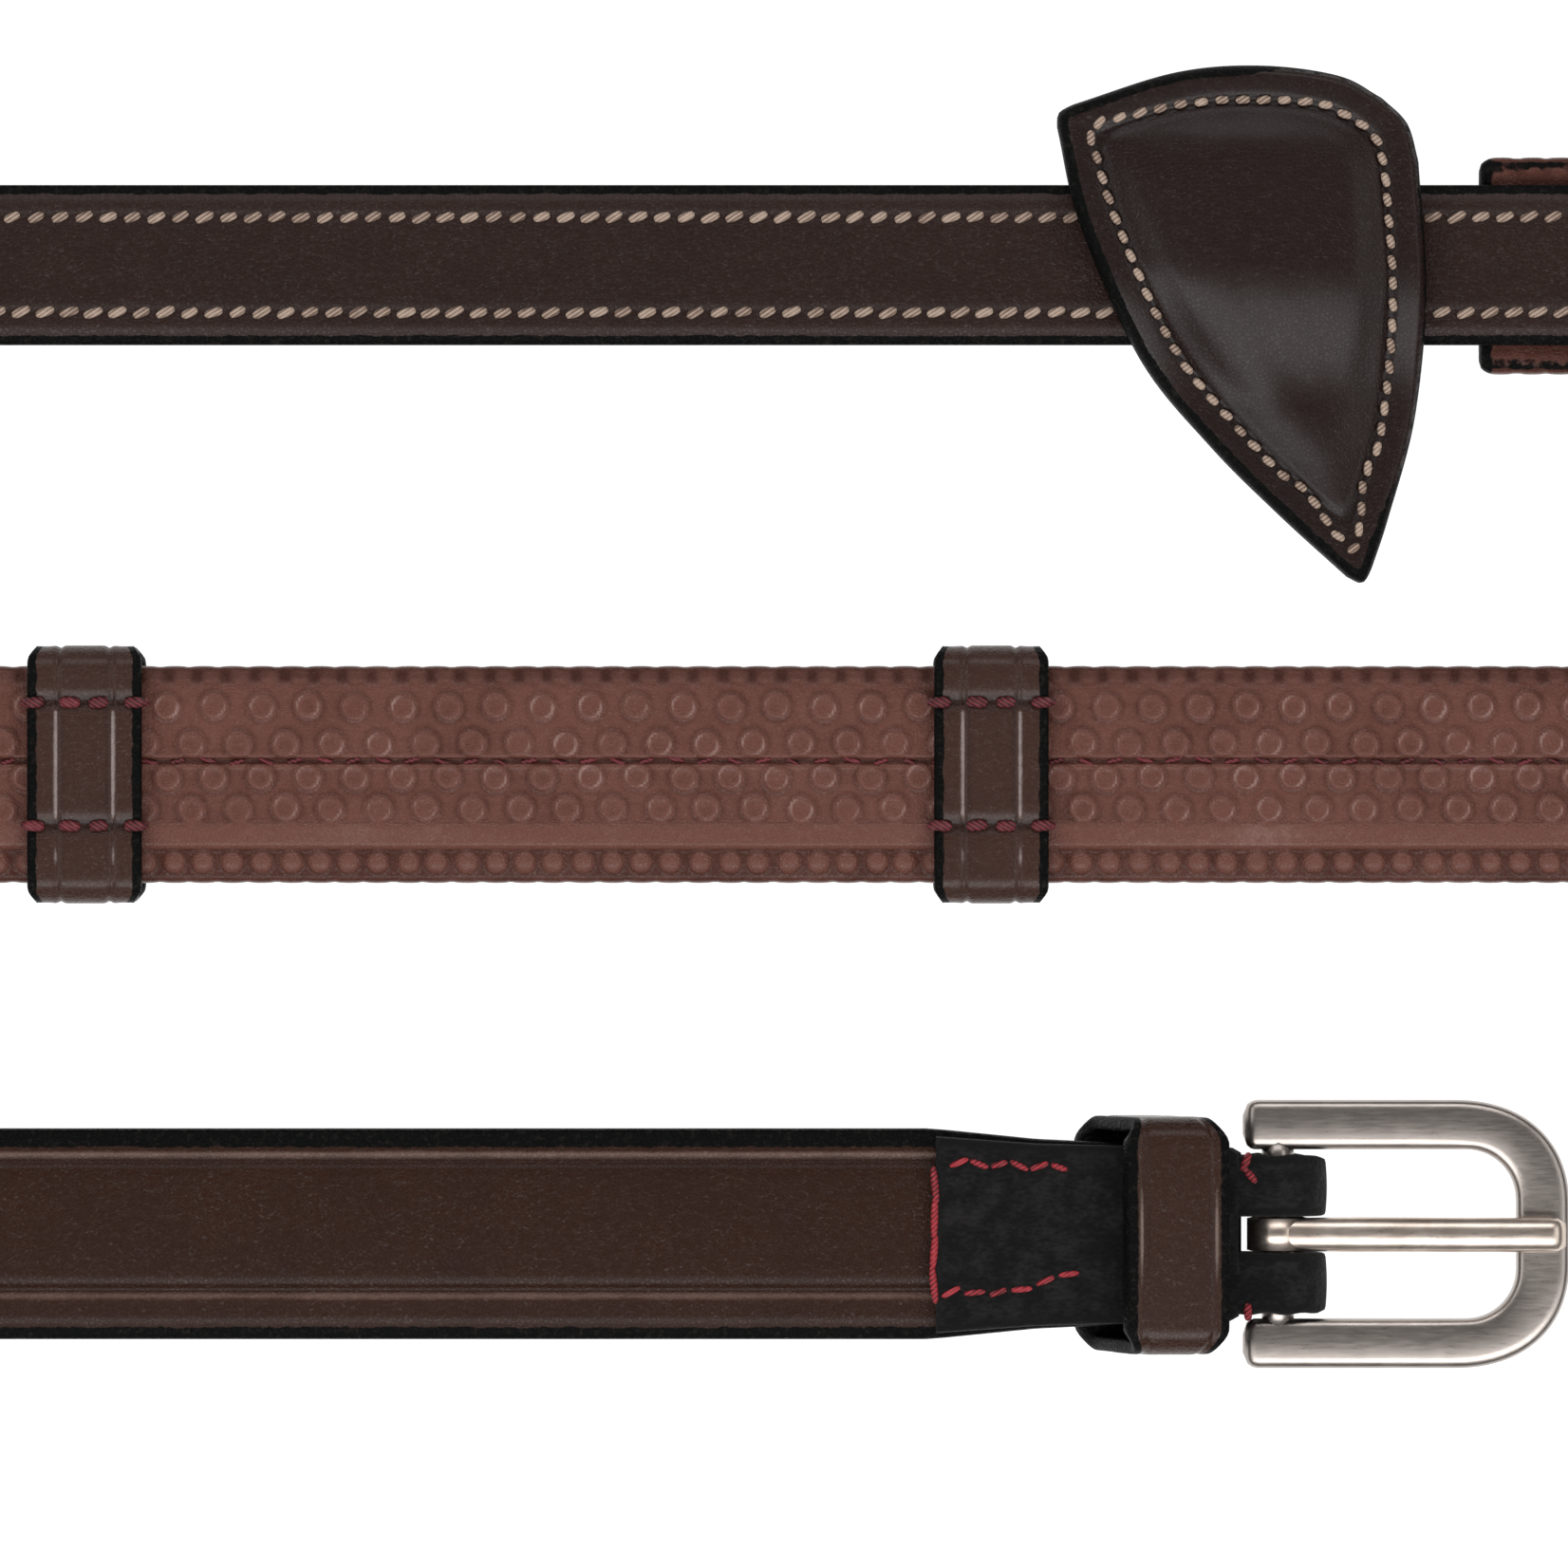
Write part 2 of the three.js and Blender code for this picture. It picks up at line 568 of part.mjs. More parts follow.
/** The tongue: an eye round the bar and a shank that comes to rest on the end of the frame. */
function addTongue() {
  const eyeInner = BAR_RADIUS + GAP;
  const eyeOuter = 3;
  const shank = 2.6;
  const tipX = FRAME_RIGHT_X - 0.5;
  const tipLevel = BAR_LEVEL + FRAME_THICKNESS / 2 + GAP + shank / 2;
  const eye = new THREE.Shape();
  eye.absarc(BAR_X, BAR_LEVEL, eyeOuter, 0, Math.PI * 2);
  const bore = new THREE.Path();
  bore.absarc(BAR_X, BAR_LEVEL, eyeInner, 0, Math.PI * 2, true);
  eye.holes.push(bore);
  const line = [
    new THREE.Vector2(BAR_X + (eyeInner + eyeOuter) / 2, BAR_LEVEL + 0.4),
    new THREE.Vector2(tipX - 12, tipLevel),
    new THREE.Vector2(tipX, tipLevel),
  ];
  const rod = toSolid(sideExtrude(bandOutline(line, shank), TONGUE_WIDTH));
  const ring = toSolid(sideExtrude(eye, TONGUE_WIDTH, 8));
  addPiece('buckle_tongue', fromSolid(ring.add(rod)), 'steel', bottomRow);
}

addFrontStrap();
addCheekLining();
addGrip();
addHandStops();
addBillet();
addHookStud();
addBitKeepers();
addReinStop();
addHandStrap();
addChape();
addBuckleKeeper();
addBuckleFrame();
addTongue();

export default reins;
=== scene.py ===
"""Leather reins, buckle half: the visible model and its studio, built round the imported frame.

Shapes are drawn in rein coordinates, in millimetres: s along the rein from the bit end, v across
it and n from the back of the cheek part towards its front. lay() takes them to their place.
"""

import functools
import json
import math

import bmesh
import bpy
import numpy as np
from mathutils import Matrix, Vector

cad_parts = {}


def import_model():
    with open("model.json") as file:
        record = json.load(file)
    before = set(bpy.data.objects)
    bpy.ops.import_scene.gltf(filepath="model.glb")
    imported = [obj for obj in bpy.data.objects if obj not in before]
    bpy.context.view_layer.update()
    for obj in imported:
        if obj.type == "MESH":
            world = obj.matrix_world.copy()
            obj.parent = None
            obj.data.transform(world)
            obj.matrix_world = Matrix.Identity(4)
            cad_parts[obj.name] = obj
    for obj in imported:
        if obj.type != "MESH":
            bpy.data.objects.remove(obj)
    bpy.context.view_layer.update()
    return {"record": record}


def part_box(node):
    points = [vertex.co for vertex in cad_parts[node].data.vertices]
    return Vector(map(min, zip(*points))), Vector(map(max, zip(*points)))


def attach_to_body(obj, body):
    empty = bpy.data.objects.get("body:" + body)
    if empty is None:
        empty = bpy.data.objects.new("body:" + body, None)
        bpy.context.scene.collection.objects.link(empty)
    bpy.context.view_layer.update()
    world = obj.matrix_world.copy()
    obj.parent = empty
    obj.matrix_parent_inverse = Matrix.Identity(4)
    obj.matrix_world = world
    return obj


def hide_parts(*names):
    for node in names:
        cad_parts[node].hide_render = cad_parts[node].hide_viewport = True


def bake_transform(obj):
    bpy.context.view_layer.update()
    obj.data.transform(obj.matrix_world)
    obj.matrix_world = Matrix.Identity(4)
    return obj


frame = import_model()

MM = 0.001


# ---------- driving measures, read from the frame ----------


def box_mm(node):
    """Lowest and highest corner of a CAD node, in millimetres."""
    low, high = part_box(node)
    return np.array(low) / MM, np.array(high) / MM


def middle_mm(node):
    return sum(box_mm(node)) / 2


LOOSE = 0.5
LAYER_GAP = 0.3
lining_low, lining_high = box_mm("cheek_lining")
stop_low, stop_high = box_mm("hand_stop_3")
hand_low, hand_high = box_mm("hand_strap")

ROW_Z = lining_low[2]
LINING_TOP = lining_high[2] - ROW_Z
STRAP_FRONT = box_mm("rein_stop_lining")[0][2] - LOOSE - ROW_Z
STRAP_HALF = (lining_high[1] - lining_low[1]) / 2
STOP_HALF = (stop_high[1] - stop_low[1]) / 2
STOP_BACK = ROW_Z - stop_high[2]
STOP_FRONT = ROW_Z - stop_low[2]
STOP_WALL = STOP_FRONT - STRAP_FRONT - LOOSE
STOP_BAND = stop_high[0] - stop_low[0]
GRIP_HALF = STOP_HALF - STOP_WALL - LOOSE
GRIP_BACK = STOP_BACK + STOP_WALL + LOOSE
HAND_BACK = hand_low[2] - ROW_Z
HAND_HALF = (hand_high[1] - hand_low[1]) / 2

TOP_Y = middle_mm("cheek_lining")[1]
MIDDLE_Y = middle_mm("hand_stop_3")[1]
BOTTOM_Y = middle_mm("hand_strap")[1]
RIGHT_RADIUS = (TOP_Y - MIDDLE_Y) / 2
LEFT_RADIUS = (MIDDLE_Y - BOTTOM_Y) / 2
LEFT_X = lining_low[0]
RIGHT_X = box_mm("grip_strap")[1][0] - RIGHT_RADIUS - STRAP_FRONT
TWIST = 55.0
EDGE_Z = STOP_HALF + 0.15

ROW_LENGTH = RIGHT_X - LEFT_X
RIGHT_TURN_AT = ROW_LENGTH
MIDDLE_AT = RIGHT_TURN_AT + math.pi * RIGHT_RADIUS
LEFT_TURN_AT = MIDDLE_AT + ROW_LENGTH
BOTTOM_AT = LEFT_TURN_AT + math.pi * LEFT_RADIUS


def top_s(x):
    """Path length of a place on the top row."""
    return x - LEFT_X


def middle_s(x):
    return MIDDLE_AT + RIGHT_X - x


def bottom_s(x):
    return BOTTOM_AT + x - LEFT_X


GRIP_AT = top_s(lining_high[0] + LAYER_GAP)
GRIP_END = bottom_s(box_mm("grip_cover_3")[1][0])
TAIL_END = bottom_s(box_mm("tail_strap")[1][0])
STOP_PITCH = middle_mm("hand_stop_3")[0] - middle_mm("hand_stop_4")[0]
STOP_COUNT = 7
STOPS = [middle_s(middle_mm("hand_stop_3")[0]) + (i - 2) * STOP_PITCH for i in range(STOP_COUNT)]
FIRST_SPLICE = STOPS[1]
LAST_SPLICE = STOPS[5]


# ---------- curves ----------


def smooth(t):
    u = np.clip(t, 0, 1)
    return u * u * (3 - 2 * u)


def dent(distance, depth, width):
    """A soft groove of the given depth at distance 0."""
    return depth * np.exp(-((distance / width) ** 2))


def power(wave, exponent):
    """A sine or cosine raised to a power with its sign kept, for squarer or rounder sections."""
    return np.sign(wave) * np.abs(wave) ** exponent


def quarter_round(distance, radius):
    """How far a rounded edge lies in, at a distance from its end."""
    return radius - np.sqrt(np.maximum(radius**2 - np.clip(radius - distance, 0, radius) ** 2, 0))


def wobble(index, seed):
    """A repeatable number between -1 and 1 for each index."""
    return 2 * np.modf(np.abs(np.sin(np.asarray(index) * 12.9898 + seed * 78.233)) * 43758.5453)[0] - 1


def lengths(line):
    """Length along a line up to each of its points."""
    return np.concatenate([[0], np.cumsum(np.hypot(*np.diff(line, axis=0).T))])


def at_lengths(line, places):
    """Points at the given lengths along a line."""
    run = lengths(line)
    return np.stack([np.interp(places, run, line[:, i]) for i in (0, 1)], axis=-1)


def left_of(line):
    """Unit directions square to a line, to its left."""
    along = np.gradient(line, axis=0)
    along = along / np.hypot(*along.T)[:, None]
    return np.stack([-along[:, 1], along[:, 0]], axis=-1)


def bezier(p0, p1, p2, p3, steps=12):
    t = np.linspace(0, 1, steps)[:, None]
    a, b, c, d = (np.array(p, float) for p in (p0, p1, p2, p3))
    return a * (1 - t) ** 3 + 3 * b * t * (1 - t) ** 2 + 3 * c * t**2 * (1 - t) + d * t**3


def arc(centre, radius, start, end, steps=14):
    angle = np.radians(np.linspace(start, end, steps))
    return np.stack([centre[0] + radius * np.cos(angle), centre[1] + radius * np.sin(angle)], axis=-1)


def straight(start, end, step=1.2):
    count = max(int(math.dist(start, end) / step), 2)
    t = np.linspace(0, 1, count)[:, None]
    return np.array(start) * (1 - t) + np.array(end) * t


def circle(count):
    return np.linspace(0, 2 * math.pi, count + 1)[:-1]


# ---------- laying rein coordinates along the path ----------


def ease_twist(t):
    """0 to 1 at an even rate, with a soft start and a soft stop, as the CAD frame twists."""
    ease = 0.2
    u = np.clip(t, 0, 1)
    soft = 2 * ease * (1 - ease)
    start = u * u / soft
    stop = 1 - (1 - u) ** 2 / soft
    return np.where(u < ease, start, np.where(u > 1 - ease, stop, (u - ease / 2) / (1 - ease)))


def lay(points):
    """Takes an array of (s, v, n) in millimetres to places in metres."""
    s, v, n = points[..., 0], points[..., 1], points[..., 2]
    right = np.clip((s - RIGHT_TURN_AT) / RIGHT_RADIUS, 0, math.pi)
    left = np.clip((s - LEFT_TURN_AT) / LEFT_RADIUS, 0, math.pi)
    on_top = np.minimum(s, RIGHT_TURN_AT)
    on_middle = np.clip(s - MIDDLE_AT, 0, ROW_LENGTH)
    on_bottom = np.maximum(s - BOTTOM_AT, 0)
    x = LEFT_X + on_top - on_middle + on_bottom
    x = x + RIGHT_RADIUS * np.sin(right) - LEFT_RADIUS * np.sin(left)
    y = TOP_Y - RIGHT_RADIUS * (1 - np.cos(right)) - LEFT_RADIUS * (1 - np.cos(left))
    heading = left - right
    twist = (
        ease_twist((s - RIGHT_TURN_AT + TWIST) / TWIST)
        + ease_twist((s - MIDDLE_AT) / TWIST)
        - ease_twist((s - LEFT_TURN_AT + TWIST) / TWIST)
        - ease_twist((s - BOTTOM_AT) / TWIST)
    )
    roll = -twist * math.pi / 2
    side = v * np.cos(roll) - n * np.sin(roll)
    rise = v * np.sin(roll) + n * np.cos(roll)
    centre = EDGE_Z * np.abs(np.sin(roll)) + ROW_Z * np.abs(np.cos(roll))
    out = np.stack([x - side * np.sin(heading), y + side * np.cos(heading), centre + rise], axis=-1)
    return out * MM


# ---------- making meshes ----------


def new_mesh(name, points, faces, material, paint=0.0, wear_and_painted_light=0.5):
    """A smooth-shaded mesh from rein coordinates.

    Its material reads three attributes: rein, the rein coordinates; paint, the share of edge paint
    (0 to 1); and the wear and painted light level, from 0 for painted shade in a hollow to 1 for a
    painted highlight on a high spot, and on stitches a random tone.
    """
    points = np.asarray(points, float).reshape(-1, 3)
    mesh = bpy.data.meshes.new(name)
    mesh.from_pydata(lay(points).tolist(), [], faces)
    rein = mesh.attributes.new("rein", "FLOAT_VECTOR", "POINT")
    rein.data.foreach_set("vector", points.astype(np.float32).ravel())
    for kind, value in (("paint", paint), ("wear_and_painted_light", wear_and_painted_light)):
        values = np.broadcast_to(np.asarray(value, np.float32).ravel(), len(points))
        mesh.attributes.new(kind, "FLOAT", "POINT").data.foreach_set("value", values.copy())
    mesh.polygons.foreach_set("use_smooth", [True] * len(mesh.polygons))
    mesh.materials.append(material)
    mesh.validate()
    piece = bpy.data.objects.new(name, mesh)
    bpy.context.scene.collection.objects.link(piece)
    return piece


def grid_faces(rows, columns, closed_rows=False):
    """Quads of a grid of rows by columns. Columns always close on themselves."""
    i, j = np.meshgrid(np.arange(rows if closed_rows else rows - 1), np.arange(columns), indexing="ij")
    i_next = (i + 1) % rows
    j_next = (j + 1) % columns
    corners = [i * columns + j, i * columns + j_next, i_next * columns + j_next, i_next * columns + j]
    return np.stack(corners, axis=-1).reshape(-1, 4).tolist()


def capped_faces(rows, columns):
    """Quads of a grid, with one flat face over its first row and one over its last."""
    first = list(range(columns))[::-1]
    last = list(range((rows - 1) * columns, rows * columns))
    return grid_faces(rows, columns) + [first, last]


def closed_grid(name, grid, material, paint=0.0, wear_and_painted_light=0.5):
    """A closed solid through a grid of (s, v, n) rings, with a flat face at each end."""
    shape = grid.shape[:2]
    paint, wear_and_painted_light = (np.broadcast_to(value, shape) for value in (paint, wear_and_painted_light))
    return new_mesh(name, grid, capped_faces(*shape), material, paint, wear_and_painted_light)


def round_ends(grid, radius):
    """Pulls the first and last rings of a swept grid in, so that both ends are rounded."""
    s = grid[:, :1, 0]
    inset = quarter_round(np.minimum(s - s[0], s[-1] - s), radius)
    for axis in (1, 2):
        low, high = grid[..., axis].min(1, keepdims=True), grid[..., axis].max(1, keepdims=True)
        centre, half = (low + high) / 2, (high - low) / 2
        share = np.clip(1 - inset / np.maximum(half, 1e-6), 0.05, 1)
        grid[..., axis] = centre + (grid[..., axis] - centre) * share
    return grid


def stations(start, end, step, end_radius=0.6):
    """Evenly spaced path lengths, with a few more near each end for its rounding."""
    count = max(int((end - start) / step), 2)
    rounding = np.array([0.0, 0.15, 0.4, 0.7]) * end_radius
    inner = np.linspace(start + end_radius, end - end_radius, count)
    return np.concatenate([start + rounding, inner, (end - rounding)[::-1]])


def swept_solid(name, section_at, places, material, paint=0.0, wear_and_painted_light=0.5, end_radius=0.6):
    """A closed solid whose section at path length s is section_at(s), an array of (v, n).

    paint and the wear and painted light level are one number, or one per section point.
    """
    rings = np.array([section_at(s) for s in places])
    grid = np.concatenate([np.repeat(places[:, None, None], rings.shape[1], axis=1), rings], axis=-1)
    return closed_grid(name, round_ends(grid, end_radius), material, paint, wear_and_painted_light)


def attach(piece, carrier, slot, *nodes):
    """Lets a piece ride on a body, or, given two bodies, stay where it is, and stand for its CAD nodes."""
    if isinstance(carrier, str):
        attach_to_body(piece, carrier)
    else:
        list(carrier)
        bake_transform(piece)
    if nodes:
        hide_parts(*nodes)
    return piece


def bend_at(first, second, y, reach=12.0):
    """A carrier of two bodies, with places reach either side of y, for a piece that runs from one to the
    next.
    """
    return first, second, (0, (y + reach) * MM, 0), (0, (y - reach) * MM, 0)


RIGHT_BEND = bend_at("cheek", "grip", (TOP_Y + MIDDLE_Y) / 2)
LEFT_BEND = bend_at("grip", "hand", (MIDDLE_Y + BOTTOM_Y) / 2)


# ---------- materials ----------


class Nodes:
    """A short way to write a node material."""

    def __init__(self, name):
        self.material = bpy.data.materials.new(name)
        self.material.use_nodes = True
        self.tree = self.material.node_tree
        self.shader = self.tree.nodes["Principled BSDF"]

    @functools.cached_property
    def rein(self):
        """The rein coordinates that new_mesh stored."""
        return self.attribute("rein", "Vector")

    def add(self, kind, vector=None, settings=(), **inputs):
        """A node with its settings and its input values, fed by a vector where one is given."""
        node = self.tree.nodes.new(kind)
        for key, value in dict(settings).items():
            setattr(node, key, value)
        self.set(node, **inputs)
        if vector is not None:
            self.link(vector, node.inputs["Vector"])
        return node

    def link(self, source, target):
        self.tree.links.new(source, target)

    def fill(self, pairs):
        """Gives each input its number or colour, or joins it to the value that feeds it."""
        for socket, value in pairs:
            if isinstance(value, tuple):
                socket.default_value = (*value, 1.0)
            elif isinstance(value, (int, float)):
                socket.default_value = value
            else:
                self.link(value, socket)

    def feed(self, source, name):
        """Joins a value to the shader's input of that name."""
        self.link(source, self.shader.inputs[name])

    def set(self, node=None, **values):
        """Sets inputs of a node, or of the shader where none is given."""
        for key, value in values.items():
            (node or self.shader).inputs[key.replace("_", " ")].default_value = value

    def attribute(self, name, output="Fac"):
        """What new_mesh stored under a name, such as paint or wear."""
        return self.add("ShaderNodeAttribute", settings={"attribute_name": name}).outputs[output]

    def math(self, operation, a, b):
        node = self.add("ShaderNodeMath", settings={"operation": operation})
        self.fill(zip(node.inputs, (a, b)))
        return node.outputs[0]

    def weighted(self, *pairs):
        """The sum of several values, each times its weight."""
        total = None
        for value, weight in pairs:
            term = self.math("MULTIPLY", value, weight)
            total = term if total is None else self.math("ADD", total, term)
        return total

    def ramp(self, value, low, high, to_low=0.0, to_high=1.0):
        """Maps value smoothly from the range low to high on to the range to_low to to_high."""
        inputs = {"From_Min": low, "From_Max": high, "To_Min": to_low, "To_Max": to_high}
        node = self.add("ShaderNodeMapRange", settings={"interpolation_type": "SMOOTHSTEP"}, **inputs)
        self.link(value, node.inputs["Value"])
        return node.outputs["Result"]

    def stretched(self, scale, turn=0.0):
        """Rein coordinates scaled, and turned in the plane of the leather."""
        return self.add("ShaderNodeMapping", self.rein, Scale=scale, Rotation=(0, 0, turn)).outputs["Vector"]

    def noise(self, vector, scale, detail=3.0, roughness=0.55):
        node = self.add("ShaderNodeTexNoise", vector, Scale=scale, Detail=detail, Roughness=roughness)
        return node.outputs["Fac"]

    def cells(self, scale):
        edges = {"feature": "DISTANCE_TO_EDGE"}
        return self.add("ShaderNodeTexVoronoi", self.rein, edges, Scale=scale).outputs["Distance"]

    def mix(self, share, a, b):
        node = self.add("ShaderNodeMix", settings={"data_type": "RGBA"})
        self.fill(((node.inputs["Factor"], share), (node.inputs[6], a), (node.inputs[7], b)))
        return node.outputs[2]

    def bump(self, height, distance, below=None):
        """Bumps of the given height in millimetres, on top of others where below is given."""
        node = self.add("ShaderNodeBump", Distance=distance * MM)
        self.link(height, node.inputs["Height"])
        if below is not None:
            self.link(below, node.inputs["Normal"])
        return node.outputs["Normal"]


EDGE_BLACK = (0.0038, 0.0042, 0.0040)
EDGE_WORN = (0.014, 0.012, 0.011)
SHINE = 0.14
GRAIN = 0.05
GRAIN_SCALE = 2.2


def leather(name, dark, colour, worn_and_highlight, roughness, gloss):
    """Finished leather with pores, wrinkles, uneven dye and edge paint, with painted shade in its hollows and
    painted highlights on its rises and creases.
    """
    m = Nodes(name)
    cloud = m.noise(m.rein, 0.11, 4.0)
    speck = m.noise(m.rein, 1.6)
    streak = m.noise(m.stretched((0.25, 1.0, 1.0)), 0.55)
    tone = m.weighted((cloud, 0.5), (speck, 0.25), (streak, 0.25))
    # level runs from the painted shade colour of hollows through the field colour to the colour of rubbed
    # rises and painted highlights.
    level = m.weighted((tone, 0.6), (m.attribute("wear_and_painted_light"), 0.7))
    base = m.mix(m.ramp(level, 0.3, 0.65), dark, colour)
    base = m.mix(m.ramp(level, 0.72, 1.05), base, worn_and_highlight)
    rough = m.ramp(tone, 0.35, 0.65, roughness + 0.06, roughness - 0.06)
    ragged = m.math("ADD", m.attribute("paint"), m.ramp(m.noise(m.rein, 0.9), 0.3, 0.7, -0.18, 0.18))
    paint = m.ramp(ragged, 0.35, 0.65)
    paint_colour = m.mix(m.ramp(speck, 0.5, 0.75), EDGE_BLACK, EDGE_WORN)
    m.feed(m.mix(paint, base, paint_colour), "Base Color")
    m.feed(m.math("ADD", rough, m.math("MULTIPLY", paint, 0.06)), "Roughness")
    pores = m.ramp(m.cells(GRAIN_SCALE), 0.0, 0.22)
    wrinkle = m.noise(m.rein, 1.1, 5.0, 0.65)
    m.feed(m.bump(pores, GRAIN, below=m.bump(wrinkle, GRAIN * 1.6)), "Normal")
    m.feed(m.ramp(paint, 0.0, 1.0, SHINE, SHINE / 4), "Specular IOR Level")
    m.feed(m.ramp(paint, 0.0, 1.0, gloss, 0.0), "Coat Weight")
    m.set(Coat_Roughness=0.27)
    return m.material


def suede(name, dark, colour):
    """The flesh side of leather, dyed black: matt, fibrous and scuffed."""
    m = Nodes(name)
    fibre = m.noise(m.stretched((0.5, 1.0, 1.0)), 2.6, 6.0, 0.7)
    scuff = m.noise(m.rein, 0.42, 4.0, 0.6)
    shade = m.weighted((fibre, 0.45), (scuff, 0.55))
    tone = m.mix(m.ramp(shade, 0.42, 0.64), dark, colour)
    m.feed(m.mix(m.attribute("paint"), tone, EDGE_BLACK), "Base Color")
    m.feed(m.ramp(fibre, 0.3, 0.7, 0.95, 0.75), "Roughness")
    m.feed(m.bump(scuff, 0.4, below=m.bump(fibre, 0.22)), "Normal")
    m.set(Specular_IOR_Level=0.15, Sheen_Weight=0.08, Sheen_Roughness=0.5)
    return m.material


def thread(name, dark, colour):
    """Waxed, twisted thread: slanted plies, darker between them."""
    m = Nodes(name)
    slanted = m.stretched((1.0, 1.0, 1.0), math.radians(55))
    bands = {"wave_type": "BANDS"}
    ply = m.add("ShaderNodeTexWave", slanted, bands, Scale=0.75, Distortion=0.8).outputs["Fac"]
    fray = m.noise(m.rein, 1.3)
    share = m.weighted((ply, 0.4), (fray, 0.4), (m.attribute("wear_and_painted_light"), 0.3))
    m.feed(m.mix(m.ramp(share, 0.25, 0.75), dark, colour), "Base Color")
    m.feed(m.ramp(fray, 0.3, 0.7, 0.75, 0.55), "Roughness")
    m.feed(m.bump(ply, 0.1), "Normal")
    return m.material


def satin_steel(name, dark, colour):
    """Tumbled stainless steel: soft reflections, faint scratches and a warm cast in places."""
    m = Nodes(name)
    scratch = m.noise(m.stretched((0.12, 1.0, 1.0)), 3.5, 4.0, 0.7)
    cloud = m.noise(m.rein, 0.3)
    m.feed(m.mix(m.ramp(cloud, 0.3, 0.75), dark, colour), "Base Color")
    m.feed(m.ramp(scratch, 0.3, 0.75, 0.27, 0.36), "Roughness")
    m.feed(m.bump(scratch, 0.002), "Normal")
    m.set(Metallic=1.0)
    return m.material


# Each leather: its painted shade colour for hollows, its field colour, its colour for rubbed rises and
# painted highlights, its roughness and its gloss.
STRAP_LEATHER = leather(
    "bridle_leather", (0.0170, 0.0070, 0.0050), (0.0275, 0.0138, 0.0112), (0.056, 0.037, 0.033), 0.32, 0.1
)
STOP_LEATHER = leather(
    "rein_stop_leather", (0.0095, 0.0036, 0.0026), (0.0150, 0.0064, 0.0049), (0.056, 0.027, 0.020), 0.37, 0.25
)
LINING_LEATHER = leather(
    "lining_leather", (0.014, 0.009, 0.008), (0.026, 0.016, 0.013), (0.045, 0.028, 0.022), 0.65, 0.0
)
GRIP_LEATHER = leather(
    "grip_leather", (0.056, 0.0160, 0.0095), (0.142, 0.0565, 0.0425), (0.285, 0.175, 0.152), 0.34, 0.15
)
BAND_LEATHER = leather(
    "band_leather", (0.022, 0.0075, 0.0045), (0.047, 0.0195, 0.0135), (0.270, 0.215, 0.205), 0.30, 0.3
)
HAND_LEATHER = leather(
    "hand_leather", (0.0170, 0.0050, 0.0022), (0.0295, 0.0100, 0.0048), (0.120, 0.070, 0.056), 0.32, 0.12
)
KEEPER_LEATHER = leather(
    "keeper_leather", (0.018, 0.0060, 0.0030), (0.0345, 0.0125, 0.0068), (0.190, 0.140, 0.120), 0.28, 0.3
)
SUEDE = suede("black_suede", (0.0040, 0.0036, 0.0036), (0.0150, 0.0137, 0.0137))
TAN_THREAD = thread("tan_thread", (0.16, 0.10, 0.075), (0.46, 0.345, 0.27))
RED_THREAD = thread("red_thread", (0.10, 0.008, 0.012), (0.40, 0.028, 0.040))
DARK_RED_THREAD = thread("dark_red_thread", (0.045, 0.006, 0.008), (0.175, 0.024, 0.032))
STEEL = satin_steel("satin_steel", (0.37, 0.330, 0.305), (0.42, 0.375, 0.345))
BRIGHT_STEEL = satin_steel("bright_steel", (0.60, 0.50, 0.43), (0.78, 0.68, 0.60))


# ---------- the front strap, its stitches and the cheek lining ----------

STITCH_LINE = 4.75
STITCH_PITCH = 2.4
STITCH_SIZE = (1.88, 0.92, 0.70)
STITCH_SLANT = math.radians(22)


def flat_section(half, back, front_at, columns, corner):
    """A strap's section, given as (v, n): its front level is front_at(v), its back is flat."""
    reach = half - corner
    v = np.linspace(-reach, reach, columns)
    front = np.stack([v, front_at(v)], axis=-1)
    turn = np.linspace(0, math.pi, 7)[1:-1]
    top = front_at(np.array([reach]))[0]
    middle, depth = (top + back) / 2, (top - back) / 2
    right = np.stack([reach + corner * np.sin(turn) ** 0.5, middle + depth * np.cos(turn)], axis=-1)
    under = np.stack([np.linspace(reach, -reach, 8), np.full(8, back)], axis=-1)
    return np.concatenate([front, right, under, right[::-1] * (-1, 1)])


def even_strap(name, section, start, end, step, material, margin, wear_and_painted_light):
    """A strap of one section all along, with edge paint beyond margin from its middle."""
    paint = smooth((np.abs(section[:, 0]) - margin + 0.3) / 0.6)
    return swept_solid(name, lambda s: section, stations(start, end, step), material, paint, wear_and_painted_light)


def strap_front(v):
    """The front of the stitched strap: a flat field, two stitch grooves and bevelled margins."""
    level = STRAP_FRONT - 0.12 - dent(np.abs(v) - STITCH_LINE, 0.2, 0.6)
    return level - 0.6 * smooth((np.abs(v) - 5.7) / (STRAP_HALF - 5.7)) ** 1.4


def grain_shape(rings=7, around=8):
    """A stitch of unit length, width and height: points and faces of a long rounded grain."""
    angle = np.linspace(0, math.pi, rings)[:, None]
    radius = 0.5 * np.sin(angle) ** 0.65
    radius[0] = radius[-1] = 0.02
    turn = np.arange(around) * 2 * math.pi / around
    along = -0.5 * power(np.cos(angle), 0.8) + 0 * turn
    points = np.stack([along, radius * np.cos(turn), radius * np.sin(turn)], axis=-1)
    return points.reshape(-1, 3), capped_faces(rings, around)


GRAIN_POINTS, GRAIN_FACES = grain_shape()


